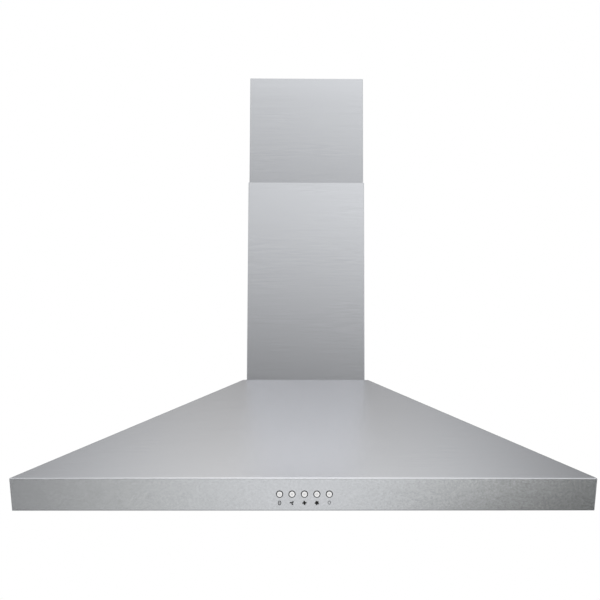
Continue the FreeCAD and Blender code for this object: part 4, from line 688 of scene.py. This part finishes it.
class HOOD_OT_buttons(bpy.types.Operator):
    """The five push buttons with their rings and the switch block behind them"""
    bl_idname = "hood.buttons"
    bl_label = "Buttons"

    def execute(self, context):
        ring = [
            (4.2, -4), (4.2, 0.45), (4.3, 0.68), (4.5, 0.8), (4.8, 0.78), (5.15, 0.6), (5.5, 0.22),
            (5.5, 0), (4.9, 0), (4.9, -4)]
        stem_and_cap = [
            (0, -14), (2, -14), (2, -6), (4.15, -6), (4.15, 2.05), (4.12, 2.2), (4.02, 2.34),
            (3.85, 2.45), (3.5, 2.57), (2.8, 2.66), (2, 2.73), (1, 2.78), (0, 2.79)]
        rings = bmesh.new()
        for number, face in enumerate(BUTTON_FACES, 1):
            turned(rings, ring, face, BAND_OUT, 64, ring=True)
            cap = bmesh.new()
            turned(cap, stem_and_cap, face, BAND_OUT, 64)
            new_piece(
                "button_cap_%d" % number, cap, "cap", ["button_%d" % number], 40,
                "push_button_%d" % number)
        new_piece("button_rings", rings, "chrome", ["button_bezels"], 50)
        finish_nodes("switch", "control_block")
        return {"FINISHED"}


def stamp(form, outline, place, thickness):
    """A printed shape: an outline in the band's face, lifted by the ink's thickness."""
    rows = [[Vector((u, v, lift)) for u, v in outline] for lift in (thickness, -thickness)]
    form.faces.new(loft(form, rows, place, BAND_OUT)[0])


def arc_strip(wide, tall, width, start, end, steps=28):
    """Pieces of an oval ring from one angle to another, as four-sided outlines."""
    angles = [radians(start + (end - start) * i / steps) for i in range(steps + 1)]
    return [[((wide - inset) * cos(angle), (tall - inset) * sin(angle))
             for angle, inset in ((a, 0), (b, 0), (b, width), (a, width))]
            for a, b in zip(angles, angles[1:])]


def bar(half, low, high):
    """The outline of a rectangle round the middle."""
    return [(-half, low), (half, low), (half, high), (-half, high)]


def fan_blade(radius, turn, fullness):
    """One blade of a fan: a petal that leans forward."""
    points = []
    for share, side in [(i / 10, 1) for i in range(11)] + [(i / 10, -1) for i in range(9, 0, -1)]:
        along = radius * (0.12 + 0.88 * share)
        width = radius * fullness * sin(pi * (0.1 + 0.82 * share)) ** 0.8
        angle = radians(turn) + 0.5 * share
        points.append(Matrix.Rotation(angle, 2) @ Vector((along, side * width)))
    return points


class HOOD_OT_symbols(bpy.types.Operator):
    """Plain printed symbols under the buttons: on and off, three fan speeds and the lamp"""
    bl_idname = "hood.symbols"
    bl_label = "Symbols"

    def execute(self, context):
        sizes = context.scene.hood_sizes
        reach = sizes.symbol_width / 2
        switch_line, lamp_line = mm(1.1, 0.78)
        switch = arc_strip(0.78 * reach, 1.04 * reach, switch_line, 0, 360)
        switch.append(bar(0.3 * switch_line, -0.35 * reach, 0.35 * reach))
        shapes = [switch]
        for blades, fullness, turn in ((3, 0.34, 31), (4, 0.36, 80), (5, 0.36, 19)):
            fan = [fan_blade(1.08 * reach, turn + 360 * i / blades, fullness) for i in range(blades)]
            shapes.append(fan + arc_strip(0.3 * reach, 0.3 * reach, 0.29 * reach, 0, 360, 12))
        lamp = arc_strip(0.74 * reach, 0.74 * reach, lamp_line, -62, 242)
        lamp = [[(u, v + 0.25 * reach) for u, v in outline] for outline in lamp]
        for low, half in ((-0.6, 0.36), (-0.9, 0.28)):
            lamp.append(bar(half * reach, low * reach, (low + 0.15) * reach))
        shapes.append(lamp)
        for number, (face, outlines) in enumerate(zip(BUTTON_FACES, shapes), 1):
            form = bmesh.new()
            for outline in outlines:
                stamp(form, outline, face - BAND_UP * sizes.symbol_drop, sizes.ink_thickness)
            new_piece("symbol_%d" % number, form, "ink", sharp=20)
        return {"FINISHED"}


def islands(node):
    """The points of each separate solid of a node."""
    form = bmesh.new()
    form.from_mesh(NODES[node].data)
    bmesh.ops.remove_doubles(form, verts=form.verts, dist=1e-6)
    seen, found = set(), []
    for first in form.verts:
        todo, group = [first], []
        while todo:
            vert = todo.pop()
            if vert not in seen:
                seen.add(vert)
                group.append(vert.co.copy())
                todo += [edge.other_vert(vert) for edge in vert.link_edges]
        if group:
            found.append(group)
    form.free()
    return found


def screw_frame(points):
    """Where a screw's head ends, which way its shank runs and how long it is."""
    low, high = (Vector([pick(column) for column in zip(*points)]) for pick in (min, max))
    span, middle = high - low, (low + high) / 2
    along = max(range(3), key=lambda i: span[i])
    ends = []
    for edge in (low[along], high[along]):
        near = [p - middle for p in points if abs(p[along] - edge) < 1e-5]
        ends.append(max(hypot(*(p[i] for i in range(3) if i != along)) for p in near))
    head_is_low = ends[0] > ends[1]
    direction = Vector((0, 0, 0))
    direction[along] = 1 if head_is_low else -1
    middle[along] = low[along] if head_is_low else high[along]
    return middle, direction, span[along]


def cross_screw(form, top, direction, length, flat):
    """A screw with a cross recess and a threaded shank; top is the middle of its flat or domed head."""
    steps = 40
    head, neck, core, shank, tip = mm(3.8, 1.8, 1.65, 2, 1.3)
    dome = (0.06 if flat else 0.5) * MM
    slot_half, slot_reach, slot_depth = mm(0.42, 1.75, 1)
    thread_start, thread_end, pitch = mm(2, 2.2, 0.8)
    rows = []
    for share in (0, 0.12, 0.2, 0.28, 0.36, 0.44, 0.5, 0.62, 0.76, 0.88, 0.96, 1):
        row = circle(head * share, dome * share ** 4, steps)
        for point in row:
            near, far = sorted((abs(point.x), abs(point.y)))
            if near < slot_half and far < slot_reach:
                point.z += slot_depth * (1 - 0.5 * share)
        rows.append(row)
    profile = [(shank, neck)] if flat else [(head, neck), (shank, neck)]
    for i in range(int((length - thread_end) / pitch)):
        z = thread_start + i * pitch
        profile += [(core, z), (shank, z + pitch / 2)]
    profile += [(tip, length), (0, length)]
    rows += [circle(radius, along, steps) for radius, along in profile]
    loft(form, rows, top, direction)


class HOOD_OT_screws(bpy.types.Operator):
    """The screws of the panel, the chimneys, the outlet and the junction box"""
    bl_idname = "hood.screws"
    bl_label = "Screws"

    def execute(self, context):
        for kind in ("panel", "chimney", "outlet", "cover", "upper_bracket"):
            node = kind + "_screws"
            body = "chimney_slide" if kind == "upper_bracket" else "hood"
            flat = kind == "panel"
            # A flush head stands out just enough to catch the light.
            lift = 0.12 * MM if flat else 0
            form = bmesh.new()
            for points in islands(node):
                top, direction, length = screw_frame(points)
                cross_screw(form, top - direction * lift, direction, length, flat)
            new_piece(node + "_cross_head", form, "screw", [node], 30, body)
        return {"FINISHED"}


class HOOD_OT_blower(bpy.types.Operator):
    """The blower: housing, inlets, wheel, shaft and motor"""
    bl_idname = "hood.blower"
    bl_label = "Blower"

    def execute(self, context):
        finish_nodes(
            "zinc", "blower_housing", "inlet_ring_left", "inlet_ring_right", "motor_bracket",
            "outlet_transition", "outlet_flange")
        finish_nodes("wheel", "impeller")
        finish_nodes("shaft", "motor_shaft")
        low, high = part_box("motor_body")
        start = (low + high) / 2
        start.x = low.x
        length, radius = (high.x - low.x) / MM, (high.z - low.z) / 2 / MM
        edge = 5
        profile = [
            (4.05, 0), (11.4, 0), (12, 0.6), (12, edge - 0.8), (12.8, edge), (radius - edge, edge),
            (radius - 2, edge + 1.4), (radius - 0.6, edge + 3), (radius, 2 * edge)]
        # Rolled beads round the can, where the two end shields are pressed on.
        for share in (0.3, 0.72):
            bead = length * share
            profile += [
                (radius, bead - 1.2), (radius - 0.9, bead - 0.5), (radius - 0.9, bead + 0.5),
                (radius, bead + 1.2)]
        profile += [
            (radius, length - edge), (radius - 0.7, length - 2.6), (radius - 2.2, length - 0.9),
            (radius - edge, length), (16, length), (15, length - 1.2), (0, length - 1.2)]
        form = bmesh.new()
        turned(form, profile, start, (1, 0, 0), 72)
        new_piece("motor_can", form, "motor", ["motor_body"], 30)
        return {"FINISHED"}


class HOOD_OT_outlet(bpy.types.Operator):
    """The duct collar with its flaps and the cable gland"""
    bl_idname = "hood.outlet"
    bl_label = "Outlet"

    def execute(self, context):
        finish_nodes("duct", "outlet_collar", "damper_flap_front", "damper_flap_rear")
        finish_nodes("shaft", "damper_pin")
        low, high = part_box("cable_gland")
        middle = (low + high) / 2
        middle.z = GLAND_SEAT
        nut, bore, barrel = 10.5, 4.5, 7.5
        form = bmesh.new()
        # Two six-sided nuts hold the sheet between them, with the round cap and its bore inside.
        nuts = [
            (bore, -7), (nut - 0.8, -7), (nut, -6.3), (nut, -1.6), (nut - 0.5, -1), (barrel, -1),
            (barrel, 0), (nut - 0.6, 0), (nut, 0.5), (nut, 4.6), (nut - 0.5, 5.4), (nut - 1.4, 6)]
        cap = [(bore, -7), (bore, 10.6), (5.2, 11), (7, 10.6), (8.2, 9.2), (8.9, 6), (bore, 5.9)]
        turned(form, nuts, middle, (0, 0, 1), 6)
        turned(form, cap, middle, (0, 0, 1), 36)
        new_piece("gland_body", form, "switch", ["cable_gland"], 30)
        return {"FINISHED"}


class HOOD_OT_electrical(bpy.types.Operator):
    """The junction box, the motor's capacitor and the lamps' driver"""
    bl_idname = "hood.electrical"
    bl_label = "Electrical pieces"

    def execute(self, context):
        finish_nodes("box", "junction_box", "junction_cover")
        low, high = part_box("lamp_driver")
        form = bmesh.new()
        block(form, low, high)
        bmesh.ops.bevel(form, geom=list(form.edges), offset=1.6 * MM, segments=3, affect="EDGES")
        first_rib, rib_pitch, rib_width, rib_end, rib_depth, level_gap = mm(22, 8, 2.4, 5, 0.9, 0.02)
        for i in range(9):
            x = low.x + first_rib + i * rib_pitch
            near = (x, low.y + rib_end, high.z - rib_depth)
            block(form, near, (x + rib_width, high.y - rib_end, high.z - level_gap))
        new_piece("driver_case", form, "box", ["lamp_driver"], 30)

        low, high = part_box("motor_capacitor")
        middle = (low + high) / 2
        middle.y = high.y
        radius, can = 15, 60
        profile = [
            (0, 0), (radius - 1.5, 0), (radius - 0.4, 0.5), (radius, 1.6), (radius, can - 6),
            (radius - 0.8, can - 5.2), (radius - 0.8, can - 3.8), (radius, can - 3), (radius, can - 0.8),
            (radius - 0.8, can), (radius - 2, can), (radius - 2.4, can - 1), (0, can - 1)]
        form = bmesh.new()
        turned(form, profile, middle, (0, -1, 0))
        aside, blade_half, blade_length, blade_rise = mm(6, 0.4, 12, 3.15)
        for x in (middle.x - aside, middle.x + aside):
            near = (x - blade_half, low.y, middle.z - blade_rise)
            block(form, near, (x + blade_half, low.y + blade_length, middle.z + blade_rise))
        new_piece("capacitor_can", form, "box", ["motor_capacitor"], 30)
        return {"FINISHED"}


class HOOD_OT_lamps(bpy.types.Operator):
    """The two round lamps with ring, lens and heat sink"""
    bl_idname = "hood.lamps"
    bl_label = "Lamps"

    def execute(self, context):
        for side in ("left", "right"):
            low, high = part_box("lamp_lens_" + side)
            middle = (low + high) / 2
            middle.z = 0
            foot, top = low.z / MM, high.z / MM
            # Shallow prism rings, 3 mm apart, spread the light of the diodes.
            profile = [(0, top), (24, top), (24, foot)]
            for radius in range(21, 0, -3):
                profile += [(radius + 0.4, foot + 0.02), (radius, foot + 0.35)]
            profile.append((0, foot + 0.1))
            form = bmesh.new()
            turned(form, profile, middle, (0, 0, 1), 72)
            new_piece("lamp_cover_" + side, form, "lens", ["lamp_lens_" + side], 30)
            foot, top = (corner.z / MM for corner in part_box("lamp_ring_" + side))
            form = bmesh.new()
            profile = [
                (22.5, 0), (22.5, foot + 0.5), (22.8, foot + 0.1), (23.6, foot), (28.8, foot),
                (30.2, foot + 0.25), (30.9, foot + 0.8), (31, 1), (27.7, 1), (27.7, top),
                (24.15, top), (24.15, 0)]
            turned(form, profile, middle, (0, 0, 1), 72, ring=True)
            new_piece("lamp_trim_" + side, form, "trim", ["lamp_ring_" + side], 40)
            finish_nodes("sink", "lamp_body_" + side)
        return {"FINISHED"}


class HOOD_OT_filters(bpy.types.Operator):
    """The two baffle filters and their catches"""
    bl_idname = "hood.filters"
    bl_label = "Filters"

    def execute(self, context):
        for side in ("left", "right"):
            names = ("filter_%s_%s" % (kind, side) for kind in ("frame", "baffles", "catch"))
            finish_nodes("filter", *names)
        return {"FINISHED"}


def seen_rays(tree):
    """One for rays from the camera, off a polish and through glass; nothing for light on dull faces."""
    path = add(tree, "LightPath").outputs
    seen = path["Is Camera Ray"]
    for kind in ("Is Glossy Ray", "Is Transmission Ray"):
        seen = add(tree, "Math", seen, path[kind], operation="MAXIMUM")
    return seen


def stage_sheet(name, corners, material, height=0):
    """A flat sheet of the studio; nothing aims light samples at its glow."""
    material.cycles.emission_sampling = "NONE"
    mesh = bpy.data.meshes.new(name)
    mesh.from_pydata(corners, [], [(0, 1, 2, 3)])
    mesh.materials.append(material)
    item = placed(name, mesh)
    item.location.z = height
    item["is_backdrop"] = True
    return item


def make_card(name, axis, place, stops):
    """A large studio card that only shows in polished surfaces."""
    material = bpy.data.materials.new(name + " light")
    tree = bare_tree(material)
    spots = axes(tree)
    product = (1, 1, 1)
    for way, marks in stops.items():
        first, last = marks[0][0], marks[-1][0]
        share = add(tree, "MapRange", spots[way], first, last, 0, 1)
        ramp = add(tree, "ValToRGB", share)
        elements = ramp.color_ramp.elements
        while len(elements) < len(marks):
            elements.new(0.5)
        for element, (spot, level, *tint) in zip(elements, marks):
            element.position = (spot - first) / (last - first)
            # A ramp holds at most one, so it carries half of the brightness.
            element.color = (*(level / 2 * c for c in (tint[0] if tint else (1, 1, 1))), 1)
        product = add(tree, "VectorMath", product, ramp, operation="MULTIPLY")
    light = add(tree, "Emission", product, 4)
    add(tree, "OutputMaterial", light)
    (across, across_marks), (along, along_marks) = stops.items()
    corners = []
    for i, j in ((0, 0), (-1, 0), (-1, -1), (0, -1)):
        corner = {axis: place, across: across_marks[i][0], along: along_marks[j][0]}
        corners.append([corner[letter] for letter in "XYZ"])
    item = stage_sheet(name, corners, material)
    item.visible_camera = item.visible_diffuse = item.visible_transmission = item.visible_shadow = False


def make_floor(height, glow):
    """A matt white floor: lit and with its shadow near the hood, further out it runs into white."""
    material = bpy.data.materials.new("Matt white studio floor")
    tree = bare_tree(material)
    seen = seen_rays(tree)
    place = add(tree, "TexCoord").outputs["Object"]
    distance = add(tree, "VectorMath", place, operation="LENGTH").outputs["Value"]
    far = add(tree, "MapRange", distance, 1.2, 5.5, interpolation_type="SMOOTHSTEP")
    far = add(tree, "Math", far, seen, operation="MULTIPLY")
    own_light = add(tree, "Math", seen, glow, operation="MULTIPLY")
    paint = add(tree, "BsdfDiffuse", (0.8, 0.8, 0.8, 1))
    lit = add(tree, "Emission", {"Strength": own_light})
    near = add(tree, "AddShader", paint, lit)
    white = add(tree, "Emission")
    both = add(tree, "MixShader", far, near, white)
    # From below, the floor doesn't hide the hood.
    below = add(tree, "NewGeometry").outputs["Backfacing"]
    clear = add(tree, "BsdfTransparent")
    mixed = add(tree, "MixShader", below, both, clear)
    add(tree, "OutputMaterial", mixed)
    corners = [(x * FLOOR_REACH, y * FLOOR_REACH, 0) for x, y in ((-1, -1), (1, -1), (1, 1), (-1, 1))]
    stage_sheet("studio_floor", corners, material, height)


class HOOD_OT_stage(bpy.types.Operator):
    """The floor, the lamps, the cards, the world and the camera"""
    bl_idname = "hood.stage"
    bl_label = "Stage"

    def execute(self, context):
        scene = context.scene
        studio = scene.hood_studio
        scene.view_settings.view_transform = "Standard"

        scene.world = bpy.data.worlds.new("Studio")
        tree = bare_tree(scene.world)
        strength = add(tree, "MapRange", seen_rays(tree), 0, 1, studio.room_light, 1)
        back = add(tree, "Background", (1, 1, 1, 1), strength)
        add(tree, "OutputWorld", back)

        make_floor(studio.floor_height, studio.floor_glow)
        for name, spot, power, width in (
                ("Key lamp", (-2, -2.6, 2.6), studio.key_power, 2.2),
                ("Fill lamp", (2.6, -1.8, 1.2), studio.fill_power, 2),
                ("Under lamp", (0.3, -1.6, -1.2), studio.fill_power / 2, 1.6)):
            lamp = bpy.data.lights.new(name, "AREA")
            lamp.energy = power
            lamp.size = width
            holder = placed(name, lamp)
            holder.location = spot
            holder.rotation_euler = (LAMP_TARGET - Vector(spot)).to_track_quat("-Z", "Y").to_euler()
            holder.visible_glossy = False
        for card in CARDS:
            make_card(*card)

        camera = bpy.data.cameras.new("Photo camera")
        camera.lens = studio.focal_length
        camera.shift_x = CAMERA_SHIFT
        camera.clip_end = 200
        holder = placed("Photo camera", camera)
        holder.location = CAMERA_PLACE
        holder.rotation_euler = CAMERA_TURN
        scene.camera = holder
        return {"FINISHED"}


class HOOD_PT_parts(bpy.types.Panel):
    """Lists the hood's pieces in the sidebar"""
    bl_idname = "HOOD_PT_parts"
    bl_label = "Range Hood"
    bl_space_type = "VIEW_3D"
    bl_region_type = "UI"
    bl_category = "Range Hood"

    def draw(self, context):
        for maker in MAKERS:
            self.layout.operator(maker.bl_idname)
        for group in (context.scene.hood_sizes, context.scene.hood_colours, context.scene.hood_studio):
            for name in group.bl_rna.properties.keys():
                if name not in ("rna_type", "name"):
                    self.layout.prop(group, name)


MAKERS = (
    HOOD_OT_canopy, HOOD_OT_chimney, HOOD_OT_buttons, HOOD_OT_symbols, HOOD_OT_screws, HOOD_OT_blower,
    HOOD_OT_outlet, HOOD_OT_electrical, HOOD_OT_lamps, HOOD_OT_filters, HOOD_OT_stage)
CLASSES = (HoodSizes, HoodColours, HoodStudio) + MAKERS + (HOOD_PT_parts,)


def register():
    for item in CLASSES:
        bpy.utils.register_class(item)
    bpy.types.Scene.hood_sizes = PointerProperty(type=HoodSizes)
    bpy.types.Scene.hood_colours = PointerProperty(type=HoodColours)
    bpy.types.Scene.hood_studio = PointerProperty(type=HoodStudio)


def unregister():
    for name in ("hood_sizes", "hood_colours", "hood_studio"):
        delattr(bpy.types.Scene, name)
    for item in reversed(CLASSES):
        bpy.utils.unregister_class(item)


def main():
    register()
    make_finishes(bpy.context.scene)
    for maker in MAKERS:
        group, name = maker.bl_idname.split(".")
        getattr(getattr(bpy.ops, group), name)()


if __name__ == "__main__":
    main()
